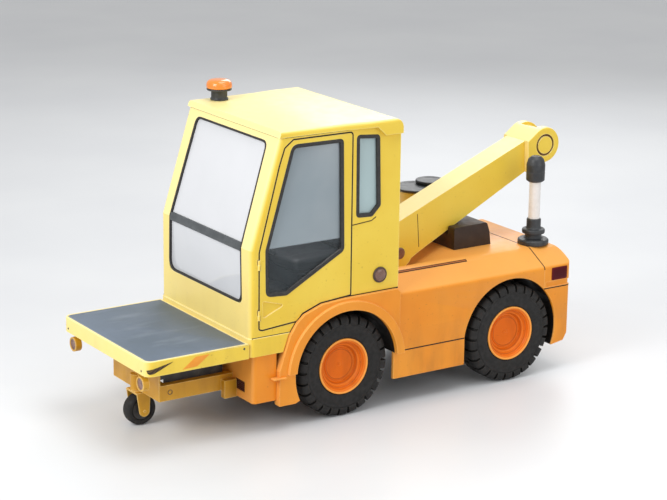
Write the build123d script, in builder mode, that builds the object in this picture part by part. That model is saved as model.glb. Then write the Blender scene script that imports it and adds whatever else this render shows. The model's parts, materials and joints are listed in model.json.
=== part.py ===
"""Compact cab baggage tractor with a front load platform and a rear luffing boom.

Frame: +X towards the front, +Y towards the vehicle's left, +Z up, millimetres.
The origin is on the ground under the middle of the overall length and width.
Side outlines are drawn as (distance ahead of the middle of the wheelbase, height).
"""
import os
from math import atan, cos, degrees, radians, sin

from build123d import *

os.makedirs("parts", exist_ok=True)

# Half width of the platform, cab, rear body and tyres, which are flush with each other
body_half = 574

# Wheels and axles
wheelbase = 1364
tyre_radius = 340
tyre_width = 190
shoulder_drop = 42
shoulder_run = 22
bead_drop = 52
bead_run = 16
lug_pairs = 26
lug_depth = 11
groove_width = 12
rim_radius = 188
rim_barrel = 12
rim_dish = 62
rim_setback = 4
hub_radius = 58
stub_radius = 25
kingpin_offset = 79
kingpin_radius = 12
steering_arm = 130
axle_height = tyre_radius
beam_height = 60
beam_depth = 70

# Chassis
rail_width = 60
rail_height = 100
rail_y = 115
rail_z = 400

# Front load platform and its sub-frame
deck_gap = 7
deck_length = 729
deck_top = 617
deck_height = 100
deck_corner = 55
deck_plate = 16
deck_wall = 12
rim_width = 15
mat_thickness = 6
deck_edge = 7
frame_half = 310
frame_setback = 226
frame_bottom = 240
frame_height = 105
frame_tube = 60
caster_radius = 104
caster_width = 92
caster_setback = 228
caster_trail = 20
fork_plate = 8
fork_foot = 36

# Cab
cab_rear = 270
cab_front = 1397
cab_bottom = 645
kink_z = 1217
screen_lean = 17.1
cab_top = 1913
roof_top = 1953
roof_overhang = 31
roof_nose_overhang = 4
roof_edge = 22
roof_tail = 62
lip_drop = 60
wall = 40
window_corner = 42
door_front = 1330
door_gap = 6
header = 15
glass = 6
seal_width = 24
fender_flare = 26
fender_lip = 20
arch_room = 50
arch_radius = tyre_radius + arch_room
liner = 12
arch_inner = 202

# Rear body
body_gap = 6
rear_overhang = 514
body_top = 870
body_wall = 14
shoulder_z = 768
shoulder_y = 425
shoulder_top = 852
ridge_y = 390
crease_z = 503
skirt_top = 370
skirt_bottom = 181
skirt_inset = 8
cap_length = 236
cap_seam_z = 615
plan_corner = 40

# Boom
pivot_x = -73
pivot_z = 882
boom_length = 1354.4
boom_angle = 27.6
boom_half = 100
head_half = 140
head_radius = 125
pin_radius = 30

# Fits
running = 0.05
seat_gap = 0.3

# Derived places
front_axle = wheelbase / 2
rear_axle = -wheelbase / 2
wheel_face_y = body_half
deck_half = body_half
cab_half = body_half
fender_half = body_half + fender_flare
roof_half = body_half + roof_overhang
deck_rear = cab_front + deck_gap
deck_front = deck_rear + deck_length
frame_front = deck_front - frame_setback
caster_swivel = deck_front - caster_setback
body_front = cab_rear - body_gap
body_rear = rear_axle - rear_overhang
cap_seam_x = body_rear + cap_length
wheel_mid_y = wheel_face_y - tyre_width / 2
kingpin_y = wheel_mid_y - kingpin_offset
head_x = pivot_x - boom_length * cos(radians(boom_angle))
head_z = pivot_z + boom_length * sin(radians(boom_angle))
boom_reach = head_radius - head_x
mid_x = (boom_reach - deck_front) / 2
deck_bottom = deck_top - deck_height
frame_top = frame_bottom + frame_height
deck_under = deck_top - mat_thickness - deck_plate
hub_inner_y = wheel_mid_y - 24
rim_face_y = wheel_face_y - rim_setback
disc_y = rim_face_y - rim_dish
stub_end_y = disc_y - 10
door_top = cab_top - door_gap - header
lean_run = (cab_top - kink_z) * sin(radians(screen_lean)) / cos(radians(screen_lean))


def side(y=0):
    """Plane seen from the left: x ahead of the wheelbase's middle, z up; extrudes to -Y."""
    return Plane((mid_x, y, 0), x_dir=(1, 0, 0), z_dir=(0, -1, 0))


def across(x):
    """Plane seen from the rear half turned: y to the left, z up; extrudes to +X."""
    return Plane((mid_x + x, 0, 0), x_dir=(0, 1, 0), z_dir=(1, 0, 0))


def level(z):
    """Horizontal plane at height z; extrudes up."""
    return Plane((mid_x, 0, z), x_dir=(1, 0, 0), z_dir=(0, 0, 1))


def outline(points):
    """Closed face through the points."""
    Polygon(*points, align=None)


def bar(x0, x1, y0, y1, z0, z1, mode=Mode.ADD):
    """Rectangular bar between two corners."""
    with Locations((mid_x + (x0 + x1) / 2, (y0 + y1) / 2, (z0 + z1) / 2)):
        Box(x1 - x0, y1 - y0, z1 - z0, mode=mode)


def round_y(x, z, radius, y0, y1, mode=Mode.ADD):
    """Cylinder along Y from y0 up to y1."""
    with Locations((mid_x + x, (y0 + y1) / 2, z)):
        Cylinder(radius, y1 - y0, rotation=(90, 0, 0), mode=mode)


def round_z(x, y, radius, z0, z1, mode=Mode.ADD):
    """Upright cylinder from z0 up to z1."""
    with Locations((mid_x + x, y, (z0 + z1) / 2)):
        Cylinder(radius, z1 - z0, mode=mode)


def mirrored(piece):
    """The same piece on the vehicle's other side."""
    with BuildPart() as other:
        mirror(piece.part, about=Plane.XZ)
    return other


def finish(piece, name):
    """Label a finished piece and write it."""
    piece.part.label = name
    export_step(piece.part, f"parts/{name}.step")


# Tyres: a ring of flat-topped lugs with open grooves between them, sloping off at both shoulders
pitch = 360 / lug_pairs
groove_turn = degrees(groove_width / 2 / tyre_radius)
lug_flat = tyre_radius * cos(radians(pitch / 2 - groove_turn))
bead_flat = rim_radius + seat_gap


def around(flat, first):
    """Closed face with one side to a lug, its sides flat from the axle and a corner at angle first."""
    corner = flat / cos(radians(pitch / 2))
    turns = [radians(first + k * pitch) for k in range(lug_pairs)]
    outline([(corner * cos(a), corner * sin(a)) for a in turns])


with BuildPart() as tyre_shape:
    reach = tyre_width / 2
    first = 90 + groove_turn
    middle = Plane((0, 0, 0), x_dir=(1, 0, 0), z_dir=(0, 1, 0))
    groove = [(-1, tyre_radius + 5), (-1, tyre_radius - lug_depth), (reach - shoulder_run, tyre_radius - lug_depth - 2),
              (reach + 5, tyre_radius - shoulder_drop - lug_depth - 4), (reach + 5, tyre_radius + 5)]
    with BuildPart(mode=Mode.PRIVATE) as grooves:
        for k in range(lug_pairs):
            turn = radians(first + k * pitch)
            radial = Vector(cos(turn), 0, -sin(turn))
            with BuildSketch(Plane((0, 0, 0), x_dir=(0, 1, 0), z_dir=Vector(0, 1, 0).cross(radial))):
                outline(groove)
            extrude(amount=groove_width / 2, both=True)
    with BuildSketch(middle):
        around(lug_flat, first)
    extrude(amount=reach - shoulder_run)
    with BuildSketch(middle.offset(reach - shoulder_run)):
        around(lug_flat, first)
    extrude(amount=shoulder_run, taper=degrees(atan(shoulder_drop / shoulder_run)))
    with BuildSketch(middle):
        around(bead_flat, first)
    extrude(amount=reach, mode=Mode.SUBTRACT)
    with BuildSketch(Plane((0, reach, 0), x_dir=(1, 0, 0), z_dir=(0, -1, 0))):
        around(bead_flat + bead_drop, -first)
    extrude(amount=bead_run, taper=degrees(atan(bead_drop / bead_run)), mode=Mode.SUBTRACT)
    add(grooves.part, mode=Mode.SUBTRACT)
    mirror(about=Plane.XZ)


def make_tyre(x, y):
    with BuildPart() as tyre:
        add(tyre_shape.part.moved(Location((mid_x + x, y, axle_height))))
    return tyre


# Rims, turned about the wheel's own axis
def wheel_plane(x, z):
    """Half section of a wheel: radius upwards from the axle, width along +Y."""
    return Plane((mid_x + x, 0, z), x_dir=(0, 1, 0), z_dir=(1, 0, 0))


def make_rim(x, face):
    """Rim of a wheel whose outer side faces +Y (face = 1) or -Y (face = -1): rolled lip, stepped
    rings, flat disc with a nub, then the bored hub and the back of the disc."""
    inner = wheel_mid_y - 75
    bore = stub_radius + running
    barrel = rim_radius - rim_barrel
    points = [
        (inner, rim_radius), (rim_face_y - 5, rim_radius), (rim_face_y, rim_radius - 4),
        (rim_face_y, rim_radius - 10), (rim_face_y - 9, rim_radius - 16), (rim_face_y - 13, rim_radius - 25),
        (rim_face_y - 28, rim_radius - 36), (rim_face_y - 44, rim_radius - 49), (rim_face_y - 50, rim_radius - 60),
        (disc_y - 4, rim_radius - 72), (disc_y + 3, rim_radius - 82), (disc_y, rim_radius - 90),
        (disc_y, 28), (disc_y + 2, 13), (disc_y + 9, 11), (disc_y + 9, 0), (disc_y - 8, 0), (disc_y - 8, bore),
        (hub_inner_y, bore), (hub_inner_y, hub_radius), (disc_y - 12, hub_radius + 6),
        (disc_y - 12, rim_radius - 92), (disc_y - 16, rim_radius - 76), (rim_face_y - 60, rim_radius - 52),
        (rim_face_y - 40, rim_radius - 30), (rim_face_y - 26, barrel), (inner, barrel),
    ]
    with BuildPart() as rim:
        with BuildSketch(wheel_plane(x, axle_height)):
            outline([(face * y, r) for y, r in points])
        revolve(axis=Axis((mid_x + x, 0, axle_height), (0, 1, 0)))
    return rim


for end, wheel_x in (("front", front_axle), ("rear", rear_axle)):
    for hand, face in (("left", 1), ("right", -1)):
        finish(make_tyre(wheel_x, face * wheel_mid_y), f"tyre_{end}_{hand}")
        finish(make_rim(wheel_x, face), f"rim_{end}_{hand}")

# Chassis rails and cross-members
rail_front = cab_front - 51
rail_rear = body_rear + body_wall
web_inset = 55
with BuildPart() as chassis_frame:
    for low in (rail_y, -rail_y - rail_width):
        bar(rail_rear, rail_front, low, low + rail_width, rail_z, rail_z + rail_height)
    for member_x in (rail_front - 80, 160, -330, rail_rear + 20):
        bar(member_x, member_x + 60, -rail_y, rail_y, rail_z + 10, rail_z + rail_height - 10)
    for low in (frame_half - web_inset, -frame_half + web_inset - 8):
        bar(deck_rear + deck_wall + 2, frame_front - frame_tube, low, low + 8, frame_top, deck_under)
finish(chassis_frame, "chassis_frame")

# Front axle: beam, pads under the rails and a yoke at each end for the kingpin
yoke_half = 50
yoke_ear = 20
yoke_radius = 32
web_far = 75
web_near = 55
ear_low = axle_height - yoke_half - yoke_ear
ear_high = axle_height + yoke_half
with BuildPart() as front_beam:
    bar(front_axle - beam_depth / 2, front_axle + beam_depth / 2, -kingpin_y + web_near, kingpin_y - web_near,
        axle_height - beam_height / 2, axle_height + beam_height / 2)
    for hand in (1, -1):
        pad = sorted((hand * rail_y, hand * (rail_y + rail_width)))
        bar(front_axle - 45, front_axle + 45, *pad, axle_height + beam_height / 2, rail_z)
        web = sorted((hand * (kingpin_y - web_far), hand * (kingpin_y - web_near)))
        bar(front_axle - beam_depth / 2, front_axle + beam_depth / 2, *web, ear_low, ear_high + yoke_ear)
        for ear_z in (ear_low, ear_high):
            round_z(front_axle, hand * kingpin_y, yoke_radius, ear_z, ear_z + yoke_ear)
            neck = sorted((hand * (kingpin_y - web_far), hand * kingpin_y))
            bar(front_axle - yoke_radius, front_axle + yoke_radius, *neck, ear_z, ear_z + yoke_ear)
            round_z(front_axle, hand * kingpin_y, kingpin_radius + running, ear_z, ear_z + yoke_ear,
                    mode=Mode.SUBTRACT)
finish(front_beam, "front_axle")

# Knuckle: kingpin barrel, stub axle and the arm that the tie rod turns
barrel_low = ear_low + yoke_ear + seat_gap
barrel_high = ear_high - seat_gap
arm_low = barrel_low + 6
arm_thick = 16
rod_z = arm_low - 15
with BuildPart() as knuckle_left:
    round_z(front_axle, kingpin_y, 28, barrel_low, barrel_high)
    round_z(front_axle, kingpin_y, kingpin_radius, ear_low, ear_high + yoke_ear)
    round_y(front_axle, axle_height, 40, kingpin_y + 10, hub_inner_y - seat_gap)
    round_y(front_axle, axle_height, stub_radius, hub_inner_y - seat_gap, stub_end_y)
    bar(front_axle - steering_arm, front_axle, kingpin_y - 16, kingpin_y + 16, arm_low, arm_low + arm_thick)
    round_z(front_axle - steering_arm, kingpin_y, 20, arm_low, arm_low + arm_thick)
    round_z(front_axle - steering_arm, kingpin_y, 8, rod_z - 12, arm_low)
finish(knuckle_left, "knuckle_left")
knuckle_right = mirrored(knuckle_left)
finish(knuckle_right, "knuckle_right")

# Tie rod between the two steering arms
rod_x = front_axle - steering_arm
with BuildPart() as tie_rod:
    round_rod = 11
    with BuildSketch(side(kingpin_y - 15)):
        with Locations((rod_x, rod_z)):
            Circle(round_rod)
    extrude(amount=2 * (kingpin_y - 15))
    for hand in (1, -1):
        round_z(rod_x, hand * kingpin_y, 19, rod_z - 12, rod_z + 12)
        round_z(rod_x, hand * kingpin_y, 8 + running, rod_z - 12, rod_z + 12, mode=Mode.SUBTRACT)
finish(tie_rod, "tie_rod")

# Rear axle with its differential
with BuildPart() as rear_beam:
    round_y(rear_axle, axle_height, 42, -hub_inner_y + seat_gap, hub_inner_y - seat_gap)
    with Locations((mid_x + rear_axle, 0, axle_height)):
        Sphere(112)
    for hand in (1, -1):
        stub = sorted((hand * (hub_inner_y - seat_gap), hand * stub_end_y))
        round_y(rear_axle, axle_height, stub_radius, *stub)
        pad = sorted((hand * rail_y, hand * (rail_y + rail_width)))
        bar(rear_axle - 40, rear_axle + 40, *pad, axle_height, rail_z)
finish(rear_beam, "rear_axle")

# Drive unit, a plain mass on the rails
with BuildPart() as drive_unit:
    bar(-300, 150, -260, 260, rail_z + rail_height, 715)
finish(drive_unit, "drive_unit")

# Load platform: a tray with a raised rim, open underneath, with stiffening ribs
with BuildPart() as deck_tray:
    with BuildSketch(level(deck_bottom)) as deck_plan:
        with Locations(((deck_front + deck_rear) / 2, 0)):
            Rectangle(deck_front - deck_rear, 2 * deck_half)
        fillet(deck_plan.vertices().group_by(Axis.X)[-1], deck_corner)
    extrude(amount=deck_height)
    fillet(deck_tray.faces().sort_by(Axis.Z)[-1].edges(), deck_edge)
    with BuildSketch(level(deck_top)):
        add(deck_plan.faces()[0].moved(Location((0, 0, deck_height))))
        offset(amount=-rim_width, mode=Mode.REPLACE)
    extrude(amount=-mat_thickness, mode=Mode.SUBTRACT)
    with BuildSketch(level(deck_bottom)):
        add(deck_plan.faces()[0])
        offset(amount=-deck_wall, mode=Mode.REPLACE)
    extrude(amount=deck_under - deck_bottom, mode=Mode.SUBTRACT)
    for rib_y in (-400, -190, 190, 400):
        bar(deck_rear + deck_wall, deck_front - deck_wall, rib_y - 4, rib_y + 4, deck_bottom + 20, deck_under)
finish(deck_tray, "deck_tray")

with BuildPart() as deck_mat:
    with BuildSketch(level(deck_top - mat_thickness)):
        add(deck_plan.faces()[0].moved(Location((0, 0, deck_height - mat_thickness))))
        offset(amount=-rim_width - 1, mode=Mode.REPLACE)
    extrude(amount=mat_thickness - 1)
finish(deck_mat, "deck_mat")

# Sub-frame under the platform: side and cross tubes, front plate, rear brackets and the swivel's boss
with BuildPart() as subframe:
    for hand in (1, -1):
        tube = sorted((hand * (frame_half - frame_tube), hand * frame_half))
        bar(rail_front + 20, frame_front, *tube, frame_bottom, frame_top)
        bracket = sorted((hand * frame_half, hand * (frame_half + 46)))
        bar(rail_front + 20, rail_front + 110, *bracket, 195, 315)
    for member_x in (frame_front - frame_tube, rail_front + 60):
        bar(member_x, member_x + frame_tube, -frame_half, frame_half, frame_bottom, frame_top)
    bar(frame_front - 10, frame_front, -frame_half, frame_half, frame_top, deck_bottom + 20)
    round_z(caster_swivel, 0, 38, frame_bottom, frame_top)
    round_z(caster_swivel, 0, 14 + running, frame_bottom, frame_bottom + 70, mode=Mode.SUBTRACT)
finish(subframe, "subframe")

# Swivelling support wheel
crown_top = frame_bottom - seat_gap
crown_bottom = 2 * caster_radius + 12
leg_y = caster_width / 2 + 20
caster_x = caster_swivel - caster_trail
with BuildPart() as caster_fork:
    round_z(caster_swivel, 0, 14, crown_bottom, frame_bottom + 68)
    bar(caster_x - fork_foot - 8, caster_swivel + 34, -leg_y - fork_plate, leg_y + fork_plate, crown_bottom, crown_top - 8)
    round_z(caster_swivel, 0, 44, crown_top - 8, crown_top)
    for low in (leg_y, -leg_y - fork_plate):
        with BuildSketch(side(low + fork_plate)):
            outline([(caster_x - fork_foot, caster_radius), (caster_x + fork_foot, caster_radius),
                     (caster_swivel + 34, crown_bottom + 4), (caster_x - fork_foot - 8, crown_bottom + 4)])
            with Locations((caster_x, caster_radius)):
                Circle(fork_foot)
        extrude(amount=fork_plate)
    round_y(caster_x, caster_radius, 8, -leg_y - fork_plate - 6, leg_y + fork_plate + 6)
finish(caster_fork, "caster_fork")

with BuildPart() as caster_hub:
    round_y(caster_x, caster_radius, 22, -leg_y + seat_gap, leg_y - seat_gap)
    round_y(caster_x, caster_radius, 66, -caster_width / 2 + 8, caster_width / 2 - 8)
    round_y(caster_x, caster_radius, 8 + running, -leg_y, leg_y, mode=Mode.SUBTRACT)
finish(caster_hub, "caster_hub")

caster_edge = 14
with BuildPart() as caster_tyre:
    with BuildSketch(wheel_plane(caster_x, caster_radius)):
        half_width = caster_width / 2
        outline([(-half_width, 66 + seat_gap), (half_width, 66 + seat_gap), (half_width, caster_radius - caster_edge),
                 (half_width - caster_edge, caster_radius), (caster_edge - half_width, caster_radius),
                 (-half_width, caster_radius - caster_edge)])
    revolve(axis=Axis((mid_x + caster_x, 0, caster_radius), (0, 1, 0)))
finish(caster_tyre, "caster_tyre")

# Two lamp pods under the platform's front corners
pod_x = deck_front - 33
pod_y = body_half - 113
pod_z = 446
pod_radius = 48
with BuildPart() as lamp_pods:
    for hand in (1, -1):
        with BuildSketch(across(pod_x - 22)):
            with Locations((hand * pod_y, pod_z)):
                Circle(pod_radius)
        extrude(amount=45)
        with BuildSketch(across(pod_x + 11)):
            with Locations((hand * pod_y, pod_z)):
                Circle(pod_radius - 10)
        extrude(amount=12, mode=Mode.SUBTRACT)
        bar(pod_x - 12, pod_x - 2, hand * pod_y - 20, hand * pod_y + 20, pod_z, deck_under)
finish(lamp_pods, "lamp_pods")

# Front lower box: front plate and two side plates, with a grille opening at each side
box_front = rail_front + 20
box_half = cab_half - 14
box_rear = front_axle + arch_radius + 120
box_low = 199
box_high = 521
grille_y = 395
grille_z = 285
grille_half = 57
grille_rise = 35
with BuildPart() as front_box:
    bar(box_rear, box_front, -box_half, box_half, box_low, box_high)
    fillet(front_box.edges().filter_by(Axis.Z).group_by(Axis.X)[-1], 30)
    bar(box_rear, rail_front, -box_half + 14, box_half - 14, box_low, box_high, mode=Mode.SUBTRACT)
    for hand in (1, -1):
        centre = hand * grille_y
        bar(rail_front, box_front, centre - grille_half, centre + grille_half,
            grille_z - grille_rise, grille_z + grille_rise, mode=Mode.SUBTRACT)
finish(front_box, "front_box")

with BuildPart() as grilles:
    for hand in (1, -1):
        with BuildSketch(across(box_front - 14)):
            with Locations((hand * grille_y, grille_z)):
                Rectangle(2 * grille_half, 2 * grille_rise)
                with GridLocations(18, 16, 6, 4):
                    Rectangle(14, 12, mode=Mode.SUBTRACT)
        extrude(amount=6)
finish(grilles, "grilles")

# Seam between the cab and the front fenders, from the rear to the front
seam = [(288, 815), (684, 812), (870, 799), (1005, 750), (1060, 703), (1100, cab_bottom)]

# Sill under the cab's front, one seam ahead of the fender
sill_rear = 1151
sill_seam = 4
sill_edge = [(1112, 628), (1150, box_high)]
with BuildPart() as front_sill:
    with BuildSketch(side(cab_half + 6)):
        outline([(seam[-1][0] + sill_seam, cab_bottom), *[(x + sill_seam, z) for x, z in sill_edge],
                 (deck_rear, box_high), (deck_rear, cab_bottom)])
    extrude(amount=2 * (cab_half + 6))
    fillet(front_sill.edges().filter_by(Axis.Z).group_by(Axis.X)[-1], 40)
    bar(seam[-1][0], cab_front - wall, -cab_half + wall, cab_half - wall, box_high, cab_bottom, mode=Mode.SUBTRACT)
finish(front_sill, "front_sill")

# Front fenders: outer panel, rolled lip and the liner over the wheel
with BuildPart() as fenders:
    with BuildSketch(side(fender_half)):
        outline([(body_front, skirt_top), (body_front, 790), *seam, *sill_edge,
                 (box_rear, 400), (box_rear, 165), (front_axle + arch_radius, 165),
                 (front_axle, axle_height), (front_axle - arch_radius + 10, skirt_top)])
        with Locations((front_axle, axle_height)):
            Circle(arch_radius, mode=Mode.SUBTRACT)
    extrude(amount=fender_half - cab_half + wall)
    with BuildSketch(side(fender_half + fender_lip)):
        with Locations((front_axle, axle_height)):
            Circle(arch_radius + 60)
            Circle(arch_radius, mode=Mode.SUBTRACT)
        with Locations((front_axle, skirt_top)):
            Rectangle(1200, 1000, align=(Align.CENTER, Align.MAX), mode=Mode.SUBTRACT)
    extrude(amount=fender_lip)
    with BuildSketch(side(fender_half)):
        with Locations((front_axle, axle_height)):
            Circle(arch_radius + liner)
            Circle(arch_radius, mode=Mode.SUBTRACT)
        with Locations((front_axle, skirt_top)):
            Rectangle(1200, 1000, align=(Align.CENTER, Align.MAX), mode=Mode.SUBTRACT)
    extrude(amount=fender_half - arch_inner)
    with BuildSketch(side(arch_inner)):
        with Locations((front_axle, axle_height)):
            Circle(arch_radius + liner)
        with Locations((front_axle, rail_z + rail_height)):
            Rectangle(1200, 1000, align=(Align.CENTER, Align.MAX), mode=Mode.SUBTRACT)
    extrude(amount=liner)
    mirror(about=Plane.XZ)
finish(fenders, "front_fenders")

# Lift-off door hinges in the seam: a lower barrel with a pin on the pillar, an upper one on the door
hinge_x = door_front + door_gap / 2
hinge_heights = (790, 1120)
hinge_radius = 8
hinge_pin = 4
hinge_length = 32
hinge_clear = 5


def pillar_hinges(hand):
    """Clear the pillar round the door's barrels and add the pillar's own barrels and pins."""
    for z in hinge_heights:
        round_z(hinge_x, hand * cab_half, hinge_radius + hinge_clear, z, z + hinge_length + hinge_clear,
                mode=Mode.SUBTRACT)
    for z in hinge_heights:
        round_z(hinge_x, hand * cab_half, hinge_radius, z - hinge_length, z)
        round_z(hinge_x, hand * cab_half, hinge_pin, z, z + hinge_length - 4)


def door_hinges(hand):
    """Clear the door round the pillar's barrels and add the door's own bored barrels."""
    for z in hinge_heights:
        round_z(hinge_x, hand * cab_half, hinge_radius + hinge_clear, z - hinge_length - hinge_clear,
                z + seat_gap, mode=Mode.SUBTRACT)
    for z in hinge_heights:
        round_z(hinge_x, hand * cab_half, hinge_radius, z + seat_gap, z + hinge_length)
        round_z(hinge_x, hand * cab_half, hinge_pin + running, z + seat_gap, z + hinge_length,
                mode=Mode.SUBTRACT)


# Cab shell: pillars and panels with the door, window and windscreen openings cut
door_outline = [(door_front, 700), (door_front, 1200), (1184, 1741), (1147, 1846), (1086, door_top), (655, door_top),
                (645, door_top - 12), (645, 824), (690, 820), (874, 806), (1010, 757), (1052, 712), (1308, 693)]
quarter_corner = 28
door_corner = 44
door_window = [(1093, 1862), (713, 1859), (698, 1128), (1129, 895), (1282, 905), (1286, 1207)]
quarter_window = [(611, 1871), (436, 1856), (421, 1389), (485, 1325), (607, 1331)]
screen_low = 850
screen_high = 1872
screen_low_half = 472
screen_high_half = 446
rear_window_half = 400
rear_window_low = 1300
rear_window_high = 1800


def screen_strip(depth_out, depth_in):
    """Side section of a layer of the front wall between two depths below its outer face."""
    lean = radians(screen_lean)

    def edge(depth):
        run = depth / cos(lean)
        top_z = cab_top
        kink = kink_z - depth * (1 - cos(lean)) / sin(lean)
        top_x = cab_front - run - (top_z - kink_z) * sin(lean) / cos(lean)
        return (cab_front - depth, kink), (top_x, top_z)

    kink_out, top_out = edge(depth_out)
    kink_in, top_in = edge(depth_in)
    return [(cab_front - depth_out, cab_bottom), kink_out, top_out,
            top_in, kink_in, (cab_front - depth_in, cab_bottom)]


def screen_half(z):
    """Half width of the windscreen opening at height z."""
    slope = (screen_high_half - screen_low_half) / (screen_high - screen_low)
    return screen_low_half + slope * (z - screen_low)


def rounded(points, radius):
    """Closed face through the points with its corners rounded."""
    with BuildSketch() as face:
        Polygon(*points, align=None)
        fillet(face.vertices(), radius)
    return face.sketch


def screen_face():
    """Windscreen opening, drawn looking along X."""
    return rounded([(-screen_low_half, screen_low), (screen_low_half, screen_low),
                    (screen_high_half, screen_high), (-screen_high_half, screen_high)], window_corner)


def rear_window_face(inset=0):
    """Rear window opening, drawn looking along X, with its sides moved in by inset."""
    low = rear_window_low + inset
    high = rear_window_high - inset
    half = rear_window_half - inset
    return rounded([(-half, low), (half, low), (half, high), (-half, high)], window_corner - inset / 2)


def door_face():
    """Door outline with its upper front corners rounded."""
    with BuildSketch() as face:
        Polygon(*door_outline, align=None)
        fillet(face.vertices().filter_by(lambda v: v.Y > 1700 and v.X > 1100), 60)
        fillet(face.vertices().filter_by(lambda v: v.Y > 1700).sort_by(Axis.X)[0:1], 20)
    return face.sketch


with BuildPart() as cab_shell:
    with BuildSketch(side(cab_half)):
        outline([(cab_front, cab_bottom), (cab_front, kink_z), (cab_front - lean_run, cab_top),
                 (cab_rear + 12, cab_top), (cab_rear, cab_top - 20), (cab_rear, 815), *seam])
    extrude(amount=2 * cab_half)
    corners = cab_shell.edges().filter_by(lambda e: e.center().X > mid_x + cab_front - lean_run + 5
                                          and abs(abs(e.center().Y) - cab_half) < 1
                                          and e.bounding_box().size.Z > 300)
    fillet(corners, 34)
    inner = screen_strip(wall, wall + 1)
    with BuildSketch(side(cab_half - wall)):
        outline([(cab_rear + wall, 600), (cab_rear + wall, cab_top), inner[2], inner[1],
                 (cab_front - wall, 600)])
    extrude(amount=2 * (cab_half - wall), mode=Mode.SUBTRACT)
    bar(cab_rear, cab_rear + wall, -cab_half + wall, cab_half - wall, 745, 830)
    with BuildSketch(side(cab_half)):
        add(door_face())
        offset(amount=door_gap, kind=Kind.INTERSECTION, mode=Mode.REPLACE)
    extrude(amount=2 * cab_half, mode=Mode.SUBTRACT)
    with BuildSketch(side(cab_half)):
        add(rounded(quarter_window, quarter_corner))
    extrude(amount=2 * cab_half, mode=Mode.SUBTRACT)
    with BuildSketch(across(cab_front - lean_run - 90)):
        add(screen_face())
    extrude(amount=lean_run + 120, mode=Mode.SUBTRACT)
    with BuildSketch(across(cab_rear - 10)):
        add(rear_window_face())
    extrude(amount=wall + 20, mode=Mode.SUBTRACT)
    for hand in (1, -1):
        pillar_hinges(hand)
finish(cab_shell, "cab_shell")

# Roof: one cap with rounded edges, wider behind, where a lip hangs down each side
lip_front = 406
lip_rise = 470
flare_start = 520
flare_end = 690
lean = radians(screen_lean)
roof_rear = cab_rear + 2
roof_nose = cab_front - lean_run + 6
with BuildPart() as roof_profile:
    with BuildSketch(side(roof_half)) as roof_side:
        outline([(roof_rear, cab_top - lip_drop), (roof_nose, cab_top - lip_drop), (roof_nose, cab_top),
                 (roof_nose - (roof_top - cab_top) * sin(lean), roof_top), (roof_rear, roof_top)])
        fillet(roof_side.vertices().filter_by(lambda v: v.X < roof_rear + 1 and v.Y > cab_top), roof_tail)
    extrude(amount=2 * roof_half)

with BuildPart() as roof:
    nose_half = cab_half + roof_nose_overhang
    with BuildSketch(level(cab_top)):
        outline([(roof_rear, roof_half), (flare_start, roof_half), (flare_end, nose_half + 6), (roof_nose, nose_half),
                 (roof_nose, -nose_half), (flare_end, -nose_half - 6), (flare_start, -roof_half), (roof_rear, -roof_half)])
    extrude(amount=roof_top - cab_top)
    fillet(roof.faces().sort_by(Axis.Z)[-1].edges().filter_by(lambda e: abs(e.center().Y) > cab_half - 10), roof_edge)
    for hand in (1, -1):
        lip = sorted((hand * cab_half, hand * roof_half))
        with BuildSketch(side(lip[1])):
            outline([(roof_rear, cab_top - lip_drop), (lip_front, cab_top - lip_drop), (lip_rise, cab_top),
                     (lip_rise, cab_top + 10), (roof_rear, cab_top + 10)])
        extrude(amount=lip[1] - lip[0])
    add(roof_profile.part, mode=Mode.INTERSECT)
finish(roof, "roof")

# Floor: footwell in front, raised over the wheels behind
floor_high = 765
floor_low = box_high + 20
with BuildPart() as cab_floor:
    with BuildSketch(side(cab_half - wall)):
        outline([(cab_front - wall, box_high), (sill_rear - 40, box_high), (sill_rear - 40, floor_high - 20),
                 (cab_rear + wall, floor_high - 20), (cab_rear + wall, floor_high),
                 (sill_rear - 20, floor_high), (sill_rear - 20, floor_low), (cab_front - wall, floor_low)])
    extrude(amount=2 * (cab_half - wall))
finish(cab_floor, "cab_floor")

# Cab glass and its rubber seals
screen_seal = 14
band_low = 1192
band_high = 1244
with BuildPart() as cab_seals:
    with BuildSketch(across(cab_front - lean_run - 90)):
        add(screen_face())
        offset(amount=-screen_seal, kind=Kind.INTERSECTION, mode=Mode.SUBTRACT)
        with Locations((0, (band_low + band_high) / 2)):
            Rectangle(2 * screen_half(band_high) - 8, band_high - band_low)
    extrude(amount=lean_run + 120)
    with BuildSketch(side(cab_half)):
        outline(screen_strip(6, 30))
    extrude(amount=2 * cab_half, mode=Mode.INTERSECT)
    for hand in (1, -1):
        with BuildSketch(side(cab_half - 6 if hand > 0 else -cab_half + 6)):
            add(rounded(quarter_window, quarter_corner))
            offset(amount=-seal_width, kind=Kind.INTERSECTION, mode=Mode.SUBTRACT)
        extrude(amount=24 * hand)
    with BuildSketch(across(cab_rear + 6)):
        add(rear_window_face())
        add(rear_window_face(seal_width), mode=Mode.SUBTRACT)
    extrude(amount=24)
finish(cab_seals, "cab_seals")

with BuildPart() as cab_glass:
    with BuildSketch(across(cab_front - lean_run - 90)):
        add(screen_face())
        offset(amount=-screen_seal, kind=Kind.INTERSECTION, mode=Mode.REPLACE)
        with Locations((0, (band_low + band_high) / 2)):
            Rectangle(2 * screen_low_half, band_high - band_low, mode=Mode.SUBTRACT)
    extrude(amount=lean_run + 120)
    with BuildSketch(side(cab_half)):
        outline(screen_strip(16, 16 + glass))
    extrude(amount=2 * cab_half, mode=Mode.INTERSECT)
    for hand in (1, -1):
        with BuildSketch(side(cab_half - 16 if hand > 0 else -cab_half + 16)):
            add(rounded(quarter_window, quarter_corner))
            offset(amount=-seal_width, kind=Kind.INTERSECTION, mode=Mode.REPLACE)
        extrude(amount=glass * hand)
    with BuildSketch(across(cab_rear + 16)):
        add(rear_window_face(seal_width))
    extrude(amount=glass)
finish(cab_glass, "cab_glass")

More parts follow.
